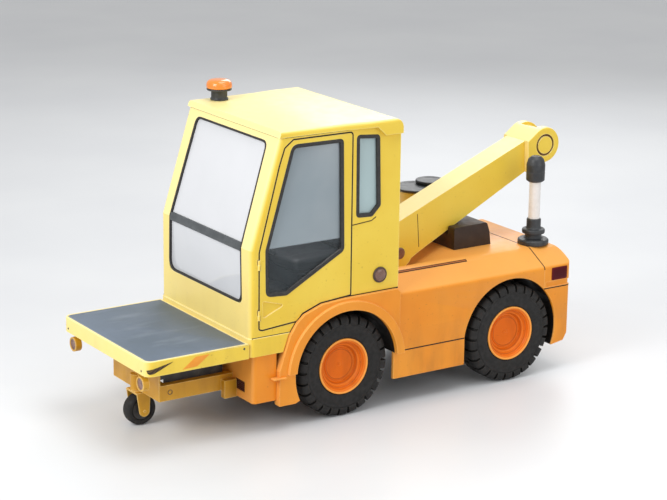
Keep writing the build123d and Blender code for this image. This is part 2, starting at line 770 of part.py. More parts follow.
# Doors
pocket = [(1306, 880), (1140, 834), (1302, 766)]
with BuildPart() as door_left:
    with BuildSketch(side(cab_half)):
        add(door_face())
    extrude(amount=wall)
    with BuildSketch(side(cab_half)):
        add(rounded(door_window, door_corner))
    extrude(amount=wall, mode=Mode.SUBTRACT)
    with BuildSketch(side(cab_half)):
        add(rounded(pocket, 10))
    extrude(amount=10, mode=Mode.SUBTRACT)
    door_hinges(1)
finish(door_left, "door_left")
finish(mirrored(door_left), "door_right")

with BuildPart() as door_seal_left:
    with BuildSketch(side(cab_half - 6)):
        add(rounded(door_window, door_corner))
        offset(amount=-seal_width, kind=Kind.INTERSECTION, mode=Mode.SUBTRACT)
    extrude(amount=24)
finish(door_seal_left, "door_seal_left")
finish(mirrored(door_seal_left), "door_seal_right")

with BuildPart() as door_glass_left:
    with BuildSketch(side(cab_half - 16)):
        add(rounded(door_window, door_corner))
        offset(amount=-seal_width, kind=Kind.INTERSECTION, mode=Mode.REPLACE)
    extrude(amount=glass)
finish(door_glass_left, "door_glass_left")
finish(mirrored(door_glass_left), "door_glass_right")

# Driver's place
with BuildPart() as seat:
    bar(420, 800, -200, 200, floor_high, 900)
    bar(400, 860, -230, 230, 900, 1000)
    with BuildSketch(side(220)):
        outline([(400, 1000), (500, 1000), (450, 1460), (360, 1460)])
    extrude(amount=440)
finish(seat, "seat")

with BuildPart() as dashboard:
    with BuildSketch(side(cab_half - wall)):
        outline([(cab_front - wall, floor_low), (cab_front - wall, 840), (1300, 870), (1200, 820),
                 (1230, 780), (1290, 760), (1300, floor_low)])
    extrude(amount=2 * (cab_half - wall))
finish(dashboard, "dashboard")

steer_x = 1060
steer_z = 1110
column_lean = radians(58)
steer_plane = Plane((mid_x + steer_x, 0, steer_z), x_dir=(0, 1, 0),
                    z_dir=(cos(column_lean), 0, -sin(column_lean)))
with BuildPart() as steering_column:
    with BuildSketch(steer_plane):
        Circle(22)
    extrude(amount=420)
    with Locations(steer_plane):
        Torus(175, 14)
        Box(350, 30, 12)
    add(dashboard.part, mode=Mode.SUBTRACT)
    with Locations(steer_plane):
        Box(600, 600, 720, mode=Mode.INTERSECT)
finish(steering_column, "steering_column")

# Beacon on the roof
beacon_x = 1000
beacon_y = -488
with BuildPart() as beacon_base:
    round_z(beacon_x, beacon_y, 56, roof_top, roof_top + 62)
    round_z(beacon_x, beacon_y, 84, roof_top + 62, roof_top + 78)
finish(beacon_base, "beacon_base")
with BuildPart() as beacon_dome:
    round_z(beacon_x, beacon_y, 86, roof_top + 78, roof_top + 140)
    fillet(beacon_dome.edges().group_by(Axis.Z)[-1], 36)
finish(beacon_dome, "beacon_dome")

# Round lamps on the cab's rear corners
with BuildPart() as side_lamps:
    for hand in (1, -1):
        inner = sorted((hand * cab_half, hand * (cab_half + 22)))
        round_y(419, 925, 53, *inner)
finish(side_lamps, "side_lamps")

# Rear body: side, cross and plan sections intersected, hollow underneath, with wheel arches
cavity_top = 738
well_floor = 757
well_flat = -160
well_rear = -430
well_half = 330
tail_step = 149
slot_y = 404
slot_width = 8
with BuildPart() as cavity:
    cavity_half = body_half - skirt_inset - body_wall
    bar(body_rear + body_wall, body_front - body_wall, -cavity_half, cavity_half, 0, cavity_top)
    fillet(cavity.edges().filter_by(Axis.Z).group_by(Axis.X)[0], plan_corner - body_wall)
    for hand in (1, -1):
        reach = sorted((hand * (arch_inner - liner), hand * body_half))
        round_y(rear_axle, axle_height, arch_radius + liner, *reach, mode=Mode.SUBTRACT)

with BuildPart() as rear_shell:
    with BuildSketch(side(body_half)) as rear_side:
        outline([(body_front, skirt_top), (body_rear + tail_step, skirt_top), (body_rear + tail_step, 196),
                 (body_rear + 44, 214), (body_rear, 290), (body_rear, body_top), (body_front, body_top)])
        fillet(rear_side.vertices().group_by(Axis.X)[0].sort_by(Axis.Y)[-1], 58)
        fillet(rear_side.vertices().group_by(Axis.X)[0].sort_by(Axis.Y)[0], 40)
    extrude(amount=2 * body_half)
    with BuildSketch(across(body_rear)) as rear_cross:
        section = [(body_half - skirt_inset, 0), (body_half - skirt_inset, skirt_top), (body_half, crease_z),
                   (body_half, shoulder_z), (shoulder_y, shoulder_top), (ridge_y, body_top)]
        outline(section + [(-y, z) for y, z in section[::-1]])
        fillet(rear_cross.vertices().filter_by(lambda v: abs(v.Y - shoulder_z) < 1), 26)
        fillet(rear_cross.vertices().filter_by(lambda v: abs(v.Y - shoulder_top) < 1), 20)
    extrude(amount=body_front - body_rear, mode=Mode.INTERSECT)
    with BuildSketch(level(0)) as rear_plan:
        with Locations(((body_front + body_rear) / 2, 0)):
            Rectangle(body_front - body_rear, 2 * body_half)
        fillet(rear_plan.vertices().group_by(Axis.X)[0], plan_corner)
    extrude(amount=body_top, mode=Mode.INTERSECT)
    add(cavity.part, mode=Mode.SUBTRACT)
    with BuildSketch(side(well_half)):
        outline([(body_front, well_floor), (well_flat, well_floor), (well_rear, body_top), (well_rear, body_top + 20),
                 (body_front, body_top + 20)])
    extrude(amount=2 * well_half, mode=Mode.SUBTRACT)
    for hand in (1, -1):
        reach = sorted((hand * arch_inner, hand * body_half))
        round_y(rear_axle, axle_height, arch_radius, *reach, mode=Mode.SUBTRACT)
        slot = sorted((hand * slot_y, hand * (slot_y + slot_width)))
        bar(-414, body_front - body_wall, *slot, shoulder_top - 2, body_top, mode=Mode.SUBTRACT)

with BuildPart() as rear_body:
    add(rear_shell.part)
    bar(body_front - body_wall, body_front, -320, 320, skirt_top, cavity_top, mode=Mode.SUBTRACT)
    bar(rear_axle - 60, rear_axle + 60, -arch_inner, arch_inner, skirt_top, axle_height + 60, mode=Mode.SUBTRACT)
    bar(body_rear, cap_seam_x, -body_half, body_half, cap_seam_z, body_top, mode=Mode.SUBTRACT)
finish(rear_body, "rear_body")

# Rear cap over the tail, with a shallow recess along its foot
recess_depth = 7
with BuildPart() as cap_core:
    bar(body_rear + recess_depth, cap_seam_x, -body_half + recess_depth, body_half - recess_depth,
        cap_seam_z, body_top)
    fillet(cap_core.edges().filter_by(Axis.Z).group_by(Axis.X)[0], plan_corner - recess_depth)
with BuildPart() as cap_recess:
    bar(body_rear - 5, cap_seam_x - 14, -body_half - 5, body_half + 5, cap_seam_z + 8, cap_seam_z + 46)
    add(cap_core.part, mode=Mode.SUBTRACT)
with BuildPart() as rear_cap:
    add(rear_shell.part)
    bar(body_rear, cap_seam_x, -body_half, body_half, cap_seam_z, body_top, mode=Mode.INTERSECT)
    add(cap_recess.part, mode=Mode.SUBTRACT)
finish(rear_cap, "rear_cap")

with BuildPart() as side_skirts:
    for hand in (1, -1):
        reach = sorted((hand * (body_half - skirt_inset - 25), hand * (body_half - skirt_inset)))
        bar(-295, 288, *reach, skirt_bottom, skirt_top)
finish(side_skirts, "side_skirts")

with BuildPart() as tail_lights:
    for hand in (1, -1):
        reach = sorted((hand * body_half, hand * (body_half + 5)))
        bar(body_rear + plan_corner + 1, body_rear + 174, *reach, 668, 757)
finish(tail_lights, "tail_lights")

# Boom pedestal: base plate, lug for the pivot and the column beside it
lug_half = 40
lug_radius = 62
slot_gap = 6
base_top = well_floor + 12
column_x = -470
column_y = -280
column_radius = 130
column_top = 1200
with BuildPart() as boom_pedestal:
    bar(-150, 150, -95, 95, well_floor, base_top)
    with BuildSketch(side(lug_half)):
        outline([(pivot_x - lug_radius, base_top), (pivot_x - lug_radius, pivot_z), (pivot_x + lug_radius, pivot_z),
                 (60, base_top + 12), (60, base_top)])
        with Locations((pivot_x, pivot_z)):
            Circle(lug_radius)
            Circle(pin_radius + running, mode=Mode.SUBTRACT)
    extrude(amount=2 * lug_half)
    round_z(column_x, column_y, column_radius, body_top, column_top)
    round_z(column_x, column_y, column_radius + 22, body_top, body_top + 20)
finish(boom_pedestal, "boom_pedestal")

with BuildPart() as boom_pin:
    round_y(pivot_x, pivot_z, pin_radius, -boom_half - seat_gap, boom_half + seat_gap)
    for hand in (1, -1):
        cover = sorted((hand * (boom_half + seat_gap), hand * (boom_half + 9)))
        round_y(pivot_x, pivot_z, 41, *cover)
finish(boom_pin, "boom_pin")

# Boom: root round the lug, tapering beam and round head
root_bottom = (pivot_x + 8, pivot_z - 107)
root_front = 107
cheek_width = 58
cheek_edge = 10
saddle_radius = 102
with BuildPart() as boom:
    with BuildSketch(side(boom_half)):
        outline([root_bottom, (-240, 877), (-1132, 1328), (-1160, 1328), (head_x, head_z), (-1180, 1573),
                 (-1122, 1549), (-64, 1109), (0, 1095), (pivot_x + root_front, 1050),
                 (pivot_x + root_front, pivot_z), (pivot_x, pivot_z)])
        with Locations((pivot_x, pivot_z)):
            Circle(root_front)
    extrude(amount=2 * boom_half)
    with BuildSketch(side(lug_half + slot_gap)):
        outline([(pivot_x - lug_radius - 8, 700), (pivot_x - lug_radius - 8, pivot_z + lug_radius + 8),
                 (pivot_x + root_front + 5, pivot_z + lug_radius + 8), (pivot_x + root_front + 5, 700)])
    extrude(amount=2 * (lug_half + slot_gap), mode=Mode.SUBTRACT)
    round_y(pivot_x, pivot_z, pin_radius + running, -boom_half, boom_half, mode=Mode.SUBTRACT)
    with BuildSketch(side(head_half)):
        with Locations((head_x, head_z)):
            Circle(head_radius)
        outline([(-1122, 1552), (-1132, 1326), (-1162, 1326), (-1372, 1434), (head_x, head_z), (-1205, 1614)])
    extrude(amount=2 * head_half)
    with BuildSketch(side(head_half - cheek_width)):
        with Locations((head_x, head_z)):
            Circle(head_radius + 20)
            Circle(saddle_radius, mode=Mode.SUBTRACT)
        with Locations((head_x + 46, head_z)):
            Rectangle(400, 600, align=(Align.MIN, Align.CENTER), mode=Mode.SUBTRACT)
    extrude(amount=2 * (head_half - cheek_width), mode=Mode.SUBTRACT)
    for hand in (1, -1):
        groove = sorted((hand * (head_half - 10), hand * head_half))
        with BuildSketch(side(groove[1])):
            with Locations((head_x, head_z)):
                Circle(78)
                Circle(62, mode=Mode.SUBTRACT)
        extrude(amount=10, mode=Mode.SUBTRACT)
    cheek_rims = boom.edges().filter_by(GeomType.CIRCLE).filter_by(
        lambda e: abs(e.radius - head_radius) < 0.5 and abs(abs(e.center().Y) - head_half) < 0.5)
    fillet(cheek_rims, cheek_edge)
finish(boom, "boom")

with BuildPart() as column_cap:
    round_z(column_x, column_y, column_radius + 30, column_top, column_top + 26)
    round_z(column_x - 150, column_y - 40, 105, column_top + 12, column_top + 46)
finish(column_cap, "column_cap")

# Winch housing under the boom, with a sloping channel in its top for the lowered beam
winch_front = -466
winch_length = 316
winch_height = 162
winch_half = 188
winch_far = 122
channel_half = boom_half + 12
channel_depth = 60
with BuildPart() as winch_box:
    winch_rear = winch_front - winch_length
    winch_top = body_top + winch_height
    with BuildSketch(side(winch_half)) as winch_side:
        outline([(winch_front, body_top), (winch_front, winch_top - 6), (winch_rear + 36, winch_top),
                 (winch_rear + 12, winch_top - 70), (winch_rear, body_top)])
        fillet(winch_side.vertices().filter_by(lambda v: v.Y > winch_top - 10).sort_by(Axis.X)[0], 26)
        fillet(winch_side.vertices().filter_by(lambda v: v.Y > winch_top - 10).sort_by(Axis.X)[-1], 14)
    extrude(amount=winch_half + winch_far)
    with BuildSketch(side(channel_half)):
        outline([(winch_front + 20, winch_top - channel_depth - 14), (winch_front - 92, winch_top - 8),
                 (winch_front - 92, winch_top + 40), (winch_front + 20, winch_top + 40)])
    extrude(amount=2 * channel_half, mode=Mode.SUBTRACT)
finish(winch_box, "winch_box")

# Work light post at the rear left
post_x = body_rear + 141
post_y = 315
with BuildPart() as post_fittings:
    round_z(post_x, post_y, 101, body_top, body_top + 32)
    round_z(post_x, post_y, 60, body_top + 32, body_top + 60)
    round_z(post_x, post_y, 74, body_top + 60, body_top + 84)
    round_z(post_x, post_y, 48, body_top + 84, body_top + 130)
    round_z(post_x, post_y, 62, body_top + 374, body_top + 540)
    fillet(post_fittings.edges().group_by(Axis.Z)[-1], 55)
finish(post_fittings, "post_fittings")
with BuildPart() as post_tube:
    round_z(post_x, post_y, 42, body_top + 130, body_top + 374)
finish(post_tube, "post_tube")

# Tow hitch at the rear: back plate and two jaws bored for the towing pin
hitch_z = 400
jaw_gap = 60
jaw_thick = 20
jaw_half = 55
hitch_bore = 16
hitch_x = body_rear - 85
with BuildPart() as tow_hitch:
    bar(body_rear - 18, body_rear, -90, 90, hitch_z - 90, hitch_z + 90)
    for low in (hitch_z - jaw_gap / 2 - jaw_thick, hitch_z + jaw_gap / 2):
        bar(hitch_x, body_rear - 18, -jaw_half, jaw_half, low, low + jaw_thick)
        round_z(hitch_x, 0, jaw_half, low, low + jaw_thick)
        round_z(hitch_x, 0, hitch_bore, low, low + jaw_thick, mode=Mode.SUBTRACT)
finish(tow_hitch, "tow_hitch")
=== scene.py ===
"""Looks of the compact cab baggage tractor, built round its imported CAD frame.

Metres. +X is towards the front, +Y towards the vehicle's left, +Z up, and the ground is z = 0.
Places along the vehicle are given ahead of the middle of the wheelbase, as in the CAD source,
and placed() shifts them into the frame.
"""
import json

import bmesh
import bpy
import numpy as np
from mathutils import Matrix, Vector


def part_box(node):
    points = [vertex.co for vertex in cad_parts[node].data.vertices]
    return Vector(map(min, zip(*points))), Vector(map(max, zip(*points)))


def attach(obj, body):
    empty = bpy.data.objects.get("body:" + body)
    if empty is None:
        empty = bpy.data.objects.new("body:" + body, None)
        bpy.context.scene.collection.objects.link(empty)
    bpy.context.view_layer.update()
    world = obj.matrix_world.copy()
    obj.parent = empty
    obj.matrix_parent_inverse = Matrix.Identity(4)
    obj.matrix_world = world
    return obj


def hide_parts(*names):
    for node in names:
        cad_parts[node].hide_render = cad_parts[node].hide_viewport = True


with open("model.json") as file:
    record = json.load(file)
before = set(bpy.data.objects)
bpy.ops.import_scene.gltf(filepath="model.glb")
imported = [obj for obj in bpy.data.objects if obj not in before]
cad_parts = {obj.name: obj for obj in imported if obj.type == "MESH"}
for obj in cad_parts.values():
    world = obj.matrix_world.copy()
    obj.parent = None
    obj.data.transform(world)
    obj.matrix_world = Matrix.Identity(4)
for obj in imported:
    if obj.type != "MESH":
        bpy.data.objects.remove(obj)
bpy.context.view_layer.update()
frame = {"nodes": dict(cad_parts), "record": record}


def middle(node):
    """Middle of a CAD node's box."""
    low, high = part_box(node)
    return (np.array(low) + np.array(high)) / 2


# Wheels
front_wheel = middle("tyre_front_left")
rear_wheel = middle("tyre_rear_left")
mid_x = (front_wheel[0] + rear_wheel[0]) / 2
front_axle = front_wheel[0] - mid_x
rear_axle = rear_wheel[0] - mid_x
tyre_radius = front_wheel[2]
tyre_half = 0.095
wheel_face = front_wheel[1] + tyre_half
lug_pairs = 26

# Cab
cab_half = 0.574
cab_wall = 0.020
cab_front = 1.397
cab_rear = 0.270
cab_top = 1.913
kink_z = 1.217
screen_lean = np.radians(17.1)
screen_low, screen_high = 0.850, 1.872
screen_low_half, screen_high_half = 0.472, 0.446
band_low, band_high = 1.192, 1.244
door_window = np.array([
    (1.093, 1.862), (0.713, 1.859), (0.698, 1.128), (1.129, 0.895), (1.282, 0.905), (1.286, 1.207),
])
quarter_window = np.array([
    (0.611, 1.871), (0.436, 1.856), (0.421, 1.389), (0.485, 1.325), (0.607, 1.331),
])
rear_window_half = 0.400
rear_window_low, rear_window_high = 1.300, 1.800

# Glass and gaskets: thickness and rounded rim, how far each runs inside its window's outline, and how far
# its middle or its face is sunk below the face of the cab
pane_thickness, pane_rim = 0.006, 0.001
pane_inset, screen_pane_inset = 0.014, 0.008
pane_sunk, screen_pane_sunk = 0.016, 0.018
gasket_inset, screen_gasket_inset = 0.010, 0.007
gasket_sunk = 0.008

# Rear body and the space inside it
body_front, body_rear = 0.264, -1.196
cap_seam_x, cap_seam_z = -0.960, 0.615
cavity_wall, cavity_half, cavity_top = 0.013, 0.553, 0.739
arch_radius = 0.390

# Platform
deck_front = 2.133
tray_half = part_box("deck_tray")[1][1]

# Directions
ahead = np.array([1.0, 0.0, 0.0])
left = np.array([0.0, 1.0, 0.0])
upward = np.array([0.0, 0.0, 1.0])
lean_up = np.array([-np.sin(screen_lean), 0.0, np.cos(screen_lean)])
lean_out = np.array([np.cos(screen_lean), 0.0, np.sin(screen_lean)])

# One finish gives way to another over twice this width, and far is beyond all of the vehicle
finish_edge = 0.0005
far = 9.0

# Points closer than this are one point, and edges that bend more than this many degrees are rounded
same_place = 1e-6
bend_limit = 35

body_of = {node: body for body, nodes in frame["record"]["behaviour"]["bodies"].items() for node in nodes}
slot_of = {part["node"]: part["material_slot"] for part in frame["record"]["subparts"]}


# Finishes
def linear(code):
    """Linear red, green and blue of a six-digit screen colour."""
    parts = np.array([int(code[i:i + 2], 16) for i in (0, 2, 4)]) / 255
    return tuple(np.where(parts <= 0.04045, parts / 12.92, ((parts + 0.055) / 1.055) ** 2.4)) + (1.0,)


def feed(material, socket, value):
    """Join an output to an input, or set the input to a number, a few numbers or a colour code."""
    if isinstance(value, bpy.types.NodeSocket):
        material.node_tree.links.new(value, socket)
    else:
        socket.default_value = linear(value) if isinstance(value, str) else value


def wire(material, socket, value):
    """Feed one of the shader's own sockets."""
    feed(material, material.node_tree.nodes["Principled BSDF"].inputs[socket], value)


def added(material, kind, inputs, **settings):
    """A new shader node with its settings made and its inputs fed."""
    node = material.node_tree.nodes.new(f"ShaderNode{kind}")
    for name, value in settings.items():
        setattr(node, name, value)
    for key, value in inputs.items():
        feed(material, node.inputs[key], value)
    return node


def new_finish(name, colour, roughness, metallic=0.0, coat=0.0):
    """A material with its shader's own sockets set, and the node that reads Object coordinates."""
    material = bpy.data.materials.new(name)
    material.use_nodes = True
    for socket, value in (("Base Color", colour), ("Roughness", roughness), ("Metallic", metallic),
                          ("Coat Weight", coat), ("Coat Roughness", 0.2)):
        wire(material, socket, value)
    added(material, "TexCoord", {}, name="Where")
    return material


def place_of(material):
    """The surface's own Object coordinates."""
    return material.node_tree.nodes["Where"].outputs["Object"]


def spread(material, value, low, high, out_low=0.0, out_high=1.0):
    """Value from low to high turned into out_low to out_high, and held there beyond."""
    limits = {"Value": value, "From Min": low, "From Max": high, "To Min": out_low, "To Max": out_high}
    return added(material, "MapRange", limits).outputs["Result"]


def noise(material, scale, detail=4.0, stretch=(1.0, 1.0, 1.0)):
    """Cloudy pattern with about scale blobs to a metre, stretched along each axis."""
    mapping = added(material, "Mapping", {"Vector": place_of(material), "Scale": stretch})
    pattern = {"Vector": mapping.outputs["Vector"], "Scale": scale, "Detail": detail}
    return added(material, "TexNoise", pattern).outputs["Fac"]


def patches(material, scale, cover, share=(0.0, 1.0), detail=4.0, stretch=(1.0, 1.0, 1.0)):
    """The cloudy pattern with its values over cover turned into those over share."""
    return spread(material, noise(material, scale, detail, stretch), *cover, *share)


def times(material, a, b):
    """Product of two values, either of them a socket or a number."""
    return added(material, "Math", {0: a, 1: b}, operation="MULTIPLY").outputs["Value"]


def along_way(material, direction, way):
    """Dot product of a place or normal with a direction."""
    return added(material, "VectorMath", {0: direction, 1: way}, operation="DOT_PRODUCT").outputs["Value"]


def blended(material, share, base, colour):
    """Base colour with share of another laid over it."""
    return added(material, "Mix", {"Factor": share, 6: base, 7: colour}, data_type="RGBA").outputs[2]


def lay_over(material, share, colour):
    """Lay share of a colour over whatever colour reaches the shader already."""
    base = material.node_tree.nodes["Principled BSDF"].inputs["Base Color"].links[0].from_socket
    wire(material, "Base Color", blended(material, share, base, colour))


def edge_share(material, radius):
    """How far the surface bends within radius: 0 on flat panels and near 1 along edges."""
    rounded = added(material, "Bevel", {"Radius": radius}, samples=6)
    plain = added(material, "NewGeometry", {})
    agreement = along_way(material, rounded.outputs["Normal"], plain.outputs["Normal"])
    return spread(material, agreement, 0.995, 0.80)


def height_share(material, low, high):
    """1 below the low height, falling to 0 at the high one."""
    split = added(material, "SeparateXYZ", {"Vector": place_of(material)})
    return spread(material, split.outputs["Z"], low, high, 1.0, 0.0)


def bumped(material, height, distance, strength):
    """Small relief on the surface, distance metres high."""
    bump = added(material, "Bump", {"Distance": distance, "Strength": strength, "Height": height})
    wire(material, "Normal", bump.outputs["Normal"])


def pebbled(material, scale, distance, strength):
    """Relief of small round pebbles, about scale of them to a metre."""
    pebble = added(material, "TexVoronoi", {"Scale": scale, "Vector": place_of(material)})
    bumped(material, pebble.outputs["Distance"], distance, strength)


def bands(material, direction, scale):
    """Soft parallel bands across a direction."""
    inputs = {"Scale": scale, "Vector": place_of(material)}
    return added(material, "TexWave", inputs, bands_direction=direction).outputs["Fac"]


def uneven_gloss(material, scale, smooth, rough):
    """Roughness that drifts between two values over the surface."""
    wire(material, "Roughness", patches(material, scale, (0.3, 0.7), (smooth, rough)))


def within(material, low, high):
    """1 inside the box between two corners and 0 outside it, as a product of six steps."""
    share = None
    for sign, corner in ((1.0, low), (-1.0, high)):
        terms = {0: place_of(material), 1: (sign,) * 3, 2: tuple(-sign * np.asarray(corner, float))}
        shifted = added(material, "VectorMath", terms, operation="MULTIPLY_ADD")
        split = added(material, "SeparateXYZ", {"Vector": shifted.outputs["Vector"]})
        for axis in "XYZ":
            step = spread(material, split.outputs[axis], -finish_edge, finish_edge)
            share = step if share is None else times(material, share, step)
    return share


def axle_gap(material, axle_x):
    """Distance from a wheel axle, measured square to it."""
    flat = added(material, "VectorMath", {0: place_of(material), 1: (1.0, 0.0, 1.0)}, operation="MULTIPLY")
    ends = {0: flat.outputs["Vector"], 1: (mid_x + axle_x, 0.0, tyre_radius)}
    return added(material, "VectorMath", ends, operation="DISTANCE").outputs["Value"]


def near_axle(material, axle_x, radius, half):
    """1 within radius of an axle and between plus and minus half a width, 0 elsewhere."""
    gap = axle_gap(material, axle_x)
    inside = spread(material, gap, radius - finish_edge, radius + finish_edge, 1.0, 0.0)
    return times(material, inside, within(material, (-far, -half, -far), (far, half, far)))


def darkened_hollows(material):
    """Near-black laid over paint inside the wheel arches and the rear body's cavity."""
    arch = arch_radius + 0.0015
    under_fender, under_body = cab_half + 0.012, cab_half - 0.020
    cavity_low = (mid_x + body_rear + cavity_wall, -cavity_half, 0)
    cavity_high = (mid_x + body_front - cavity_wall, cavity_half, cavity_top)
    for share in (near_axle(material, front_axle, arch, under_fender),
                  near_axle(material, rear_axle, arch, under_body),
                  within(material, cavity_low, cavity_high)):
        lay_over(material, share, "1D1A18")
    return material


def lit_up_and_ahead(material, colour, most):
    """Paint lightened as a painted highlight where it faces up and forwards: the share grows with the dot
    product of the surface's own normal and a direction up and forwards."""
    normal = material.node_tree.nodes["Where"].outputs["Normal"]
    up_and_forwards = (0.75, 0.0, 1.0)
    facing = along_way(material, normal, up_and_forwards)
    lay_over(material, spread(material, facing, 0.35, 1.0, 0.0, most), colour)
    return material


def lined(material):
    """Dark trim laid over paint on the cab's inner faces, which lie behind the leaning front."""
    lining_low, lining_high = 0.700, cab_top + 0.001
    front = float(lean_out @ np.array([mid_x + cab_front, 0.0, kink_z])) - cab_wall
    depth = along_way(material, place_of(material), tuple(lean_out))
    behind = spread(material, depth, front - finish_edge, front + finish_edge, 1.0, 0.0)
    inside = within(material, (mid_x + cab_rear + cab_wall, cab_wall - cab_half, lining_low),
                    (mid_x + cab_front - cab_wall, cab_half - cab_wall, lining_high))
    lay_over(material, times(material, behind, inside), "2E2E2A")
    return material


def ring_shade_and_highlight(material):
    """Rim paint: painted shade in the steps between its rings, painted highlights on their crowns and on the
    lip.
    """
    gaps = {number: axle_gap(material, axle_x) for number, axle_x in enumerate((front_axle, rear_axle))}
    distance = added(material, "Math", gaps, operation="MINIMUM").outputs["Value"]
    # Dark rings are painted shade in the steps between the rings, bright rings are painted highlights
    dark, bright = "9A4204", "FF9C3C"
    ring_table = (
        # radius, half width, colour, share
        (0.101, 0.005, dark, 0.70), (0.116, 0.004, bright, 0.45), (0.129, 0.005, dark, 0.60),
        (0.140, 0.004, bright, 0.40), (0.152, 0.005, dark, 0.55), (0.165, 0.004, bright, 0.35),
    )
    for radius, half_width, colour, most in ring_table:
        rise = spread(material, distance, radius - half_width, radius, 0.0, most)
        fall = spread(material, distance, radius, radius + half_width, 1.0, 0.0)
        lay_over(material, times(material, rise, fall), colour)
    # Painted highlight on the lip
    lip_start, lip_full = 0.171, 0.177
    lay_over(material, spread(material, distance, lip_start, lip_full, 0.0, 0.8), "FFB052")
    return material


def paint(name, colour, sunny, worn_and_highlit, grime, roughness=0.36, mirror=0.30):
    """Sprayed paint: slow tone changes, edges lightened by wear and by a painted highlight, dust low down and
    fine orange peel.
    """
    material = new_finish(name, colour, roughness, coat=mirror / 3)
    wire(material, "Specular IOR Level", mirror)
    tone = patches(material, 1.6, (0.35, 0.65), detail=3.0)
    # Edges lightened by wear and by a painted highlight
    rubbed_and_highlit = times(material, edge_share(material, 0.010), patches(material, 9.0, (0.3, 0.62), (0.35, 0.9)))
    streak = patches(material, 7.0, (0.48, 0.75), (0.0, 0.55), 5.0, (1.0, 1.0, 0.25))
    speck = patches(material, 55.0, (0.66, 0.74), (0.0, 0.5), 6.0)
    shade = blended(material, rubbed_and_highlit, blended(material, tone, colour, sunny), worn_and_highlit)
    shade = blended(material, times(material, streak, height_share(material, 0.15, 0.95)), shade, grime)
    shade = blended(material, times(material, speck, height_share(material, 0.3, 2.4)), shade, grime)
    wire(material, "Base Color", shade)
    uneven_gloss(material, 14.0, roughness - 0.05, roughness + 0.12)
    bumped(material, noise(material, 420.0, 2.0), 0.0002, 0.25)
    return material


def dark_metal(name, colour, dust, roughness=0.5, metallic=0.2):
    """Dark painted or bare metal with settled dust, edges lightened by wear and a painted highlight, and a
    fine cast grain.
    """
    material = new_finish(name, colour, roughness, metallic)
    shade = blended(material, patches(material, 12.0, (0.45, 0.75), (0.0, 0.6), 6.0), colour, dust)
    # Edges lightened by wear and by a painted highlight
    shade = blended(material, times(material, edge_share(material, 0.006), 0.5), shade, dust)
    wire(material, "Base Color", shade)
    uneven_gloss(material, 30.0, roughness - 0.08, roughness + 0.15)
    bumped(material, noise(material, 260.0, 4.0), 0.0004, 0.4)
    return material


def tyre_rubber(name, colour, dust):
    """Near black rubber, dusted in clouds and greyed along its edges by a painted highlight, with fine
    moulding grain.
    """
    material = new_finish(name, colour, 0.72)
    shade = blended(material, patches(material, 16.0, (0.42, 0.72), (0.0, 0.42), 6.0), colour, dust)
    # Greyer edges: a painted highlight
    shade = blended(material, times(material, edge_share(material, 0.005), 0.5), shade, "5A554F")
    wire(material, "Base Color", shade)
    uneven_gloss(material, 40.0, 0.62, 0.82)
    bumped(material, noise(material, 500.0, 3.0), 0.0003, 0.5)
    return material


def plain_rubber(name, colour):
    """Smooth extruded rubber with a faint mottle."""
    material = new_finish(name, colour, 0.55)
    wire(material, "Base Color",
         blended(material, patches(material, 60.0, (0.4, 0.7), (0.0, 0.35)), colour, "4A4642"))
    bumped(material, noise(material, 700.0, 2.0), 0.0001, 0.3)
    return material


def mat_rubber(name, colour):
    """Load mat: blue-grey rubber with a pebbled face, paler scuffs along the way loads slide and a painted
    highlight along its edges.
    """
    material = new_finish(name, colour, 0.62)
    scuffs = patches(material, 5.0, (0.55, 0.75), (0.0, 0.22), 8.0, (0.5, 1.6, 1.0))
    shade = blended(material, patches(material, 3.0, (0.35, 0.65)), colour, "5C6874")
    shade = blended(material, scuffs, shade, "9FA8B2")
    # Paler edges: a painted highlight
    shade = blended(material, times(material, edge_share(material, 0.012), 0.6), shade, "C5CBD0")
    shade = blended(material, patches(material, 30.0, (0.64, 0.78), (0.0, 0.4), 6.0), shade, "4E5660")
    wire(material, "Base Color", shade)
    pebbled(material, 260.0, 0.0006, 0.5)
    return material


def glazing(name, colour, opacity):
    """Glass that lets part of the light straight through, its pale colour a painted reflection, with a faint
    film of dust.
    """
    clean, filmed = 0.04, 0.12
    material = new_finish(name, colour, clean)
    wire(material, "Alpha", opacity)
    wire(material, "Specular IOR Level", 0.6)
    wire(material, "Roughness", patches(material, 2.5, (0.35, 0.7), (clean, filmed), 3.0))
    wire(material, "Base Color",
         blended(material, patches(material, 1.8, (0.4, 0.7), (0.0, 0.25), 3.0), colour, "C9CCCE"))
    return material


def moulded(name, colour, other, roughness, coat=0.0, grain=0.0002):
    """Moulded plastic: a slight tone change, a painted highlight along its edges and a leathery or glossy
    skin.
    """
    material = new_finish(name, colour, roughness, coat=coat)
    shade = blended(material, patches(material, 18.0, (0.4, 0.7), (0.0, 0.6), 5.0), colour, other)
    # Lighter edges: a painted highlight
    shade = blended(material, times(material, edge_share(material, 0.005), 0.4), shade, other)
    wire(material, "Base Color", shade)
    uneven_gloss(material, 25.0, roughness - 0.05, roughness + 0.08)
    bumped(material, noise(material, 380.0, 3.0), grain, 0.4)
    return material


def lens(name, colour, glow, roughness=0.14, mirror=0.5):
    """Coloured lens with fine moulded rings and a painted highlight near its edges, where light gathers."""
    material = new_finish(name, colour, roughness, coat=mirror)
    wire(material, "Specular IOR Level", mirror)
    gathered = times(material, edge_share(material, 0.02), 0.8)
    wire(material, "Base Color", blended(material, gathered, colour, glow))
    bumped(material, bands(material, "Z", 45.0), 0.0008, 0.5)
    return material


def hatched(name, colour, line):
    """Dark ground crossed by slanting paler lines."""
    material = new_finish(name, colour, 0.6)
    stripes = spread(material, bands(material, "DIAGONAL", 28.0), 0.75, 0.9, 0.0, 0.7)
    wire(material, "Base Color", blended(material, stripes, colour, line))
    return material


def seat_cover(name, colour):
    """Grained seat cover: small pebbles and slightly paler patches of wear."""
    material = new_finish(name, colour, 0.5)
    wire(material, "Base Color",
         blended(material, patches(material, 8.0, (0.4, 0.7), (0.0, 0.6)), colour, "3C3D40"))
    pebbled(material, 420.0, 0.0005, 0.6)
    return material


